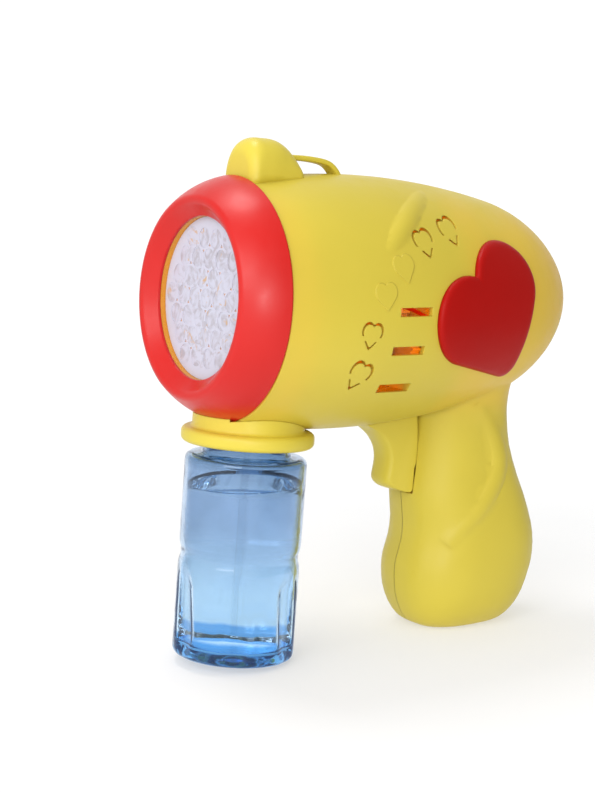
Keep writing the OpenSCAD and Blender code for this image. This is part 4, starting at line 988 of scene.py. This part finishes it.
def level_ring(r, rise):
    """Ring of the liquid's face, which is level with the floor though the bottle leans."""
    slope = math.tan(STAND)
    return [bottle_point(r, a, LIQUID_Z + rise + r * math.cos(a) * slope) for a in ANGLES]


def liquid():
    """The liquid that fills most of the bottle."""
    mat = clear("bubble_liquid", (0.95, 0.98, 1.0), 0.0, 1.33, 0.02)
    wall_r = BOTTLE_R - BOTTLE_WALL - LIQUID_GAP
    rings = [plain_ring(r, z) for r, z in LIQUID_BASE]
    rings += [dented_ring(wall_r - inset, z) for inset, z in LIQUID_FOOT]
    heights = np.linspace(LIQUID_LOW, LIQUID_Z - 2.0, LIQUID_ROWS)
    rings += [dented_ring(wall_r - waist(z), z) for z in heights]
    rings += [level_ring(wall_r - inset, rise) for inset, rise in LIQUID_EDGE]
    rings += [level_ring(r, 0.0) for r in LIQUID_FACE]
    verts, faces = rings_mesh(rings, bottle_point(0, 0, LIQUID_BASE_Z), bottle_point(0, 0, LIQUID_Z))
    piece("bubble_liquid", verts, faces, mat, "bottle")


liquid()


# Studio floor: radius, gap under the part and lumps per metre of the paper's tone
FLOOR_R, FLOOR_GAP, FLOOR_LUMPS = 4.0, 0.0002, 8.0
# Its tones, its own glow and that one's share, and the distances over which it fades out
FLOOR_TONES, FLOOR_GLOW, FLOOR_GLOW_SHARE, FLOOR_FADE = (0.88, 0.92), 1.08, 0.45, (0.14, 0.42)
# Surround: even level, and soft patches as direction, outer and inner angle, and gain
SURROUND = 0.58
PATCHES = [
    ((-0.9, -0.4, -0.1), 85, 20, 0.75),
    ((0.9, -0.45, 0.0), 75, 15, -0.3),
    ((0.544, 0.827, -0.16), 75, 20, 0.5),
]
# Soft lights: place, aim, width, height and power
PANELS = {
    "key_panel": ((-0.82, -0.5, 0.62), (0, 0, 0.08), 0.6, 0.5, 3.4),
    "top_panel": ((-0.09, 0.26, 1.0), (-0.05, 0, 0.13), 0.32, 0.32, 2.9),
    "front_panel": ((-0.5, -0.93, 0.27), (0, 0, 0.11), 0.27, 0.32, 2.3),
}


def floor_paper():
    """Matt pale paper that glows a little and fades out into the white surround."""
    t = Tree("floor_white")
    tone = t.span(t.noise(FLOOR_LUMPS), *FLOOR_TONES, *NOISE_CORE)
    shade = t.add("ShaderNodeCombineColor", {0: tone, 1: tone, 2: tone})
    paper = t.add("ShaderNodeBsdfDiffuse", {"Color": shade.outputs[0]})
    glow = t.add("ShaderNodeEmission", {"Strength": FLOOR_GLOW})
    fade = t.span(t.vector("LENGTH", t.coord, out="Value"), 0.0, 1.0, *FLOOR_FADE)
    lit = t.blend(FLOOR_GLOW_SHARE, paper, glow)
    return t.end(t.blend(fade, lit, t.add("ShaderNodeBsdfTransparent")))


def lay_floor():
    """Lays the floor just under the part."""
    mesh = bpy.data.meshes.new("floor")
    bm = bmesh.new()
    bmesh.ops.create_circle(bm, cap_ends=True, radius=FLOOR_R, segments=96)
    bm.to_mesh(mesh)
    bm.free()
    mesh.materials.append(floor_paper())
    floor = bpy.data.objects.new("floor", mesh)
    floor.location = (0, 0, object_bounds()[0][2] - FLOOR_GAP)
    scene.collection.objects.link(floor)
    floor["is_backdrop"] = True


def surround():
    """White surround with soft patches: bright at the left and behind, darker at the right."""
    world = bpy.data.worlds.new("studio")
    world.use_nodes = True
    tree = world.node_tree
    way = tree.nodes.new("ShaderNodeTexCoord").outputs["Generated"]
    light = None
    for aim, wide, narrow, gain in PATCHES:
        dot = tree.nodes.new("ShaderNodeVectorMath")
        dot.operation = "DOT_PRODUCT"
        dot.inputs[1].default_value = Vector(aim).normalized()
        tree.links.new(way, dot.inputs[0])
        fall = tree.nodes.new("ShaderNodeMapRange")
        fall.interpolation_type = "SMOOTHSTEP"
        fall.inputs["From Min"].default_value = math.cos(math.radians(wide))
        fall.inputs["From Max"].default_value = math.cos(math.radians(narrow))
        fall.inputs["To Max"].default_value = gain
        tree.links.new(dot.outputs["Value"], fall.inputs["Value"])
        total = tree.nodes.new("ShaderNodeMath")
        total.operation = "ADD"
        total.inputs[1].default_value = SURROUND
        tree.links.new(fall.outputs["Result"], total.inputs[0])
        if light is not None:
            tree.links.new(light, total.inputs[1])
        light = total.outputs[0]
    tree.links.new(light, tree.nodes["Background"].inputs["Strength"])
    tree.nodes["Background"].inputs["Color"].default_value = (1, 1, 1, 1)
    scene.world = world


def panel(name, at, aim, width, height, power):
    """Hangs a soft rectangular light that looks at a point."""
    light = bpy.data.lights.new(name, "AREA")
    light.shape = "RECTANGLE"
    light.size = width
    light.size_y = height
    light.energy = power
    obj = bpy.data.objects.new(name, light)
    obj.location = at
    obj.rotation_euler = (Vector(aim) - Vector(at)).to_track_quat("-Z", "Y").to_euler()
    scene.collection.objects.link(obj)
    return obj


def studio():
    """Floor, surround and lights. The front light skips the bottle, which would mirror its square."""
    lay_floor()
    surround()
    panels = {name: panel(name, *values) for name, values in PANELS.items()}
    skipped = bpy.data.collections.new("front_panel_leaves_out")
    for name in ("bottle_shell", "bubble_liquid"):
        skipped.objects.link(bpy.data.objects[name])
    panels["front_panel"].light_linking.receiver_collection = skipped
    for member in skipped.collection_objects:
        member.light_linking.link_state = "EXCLUDE"


studio()
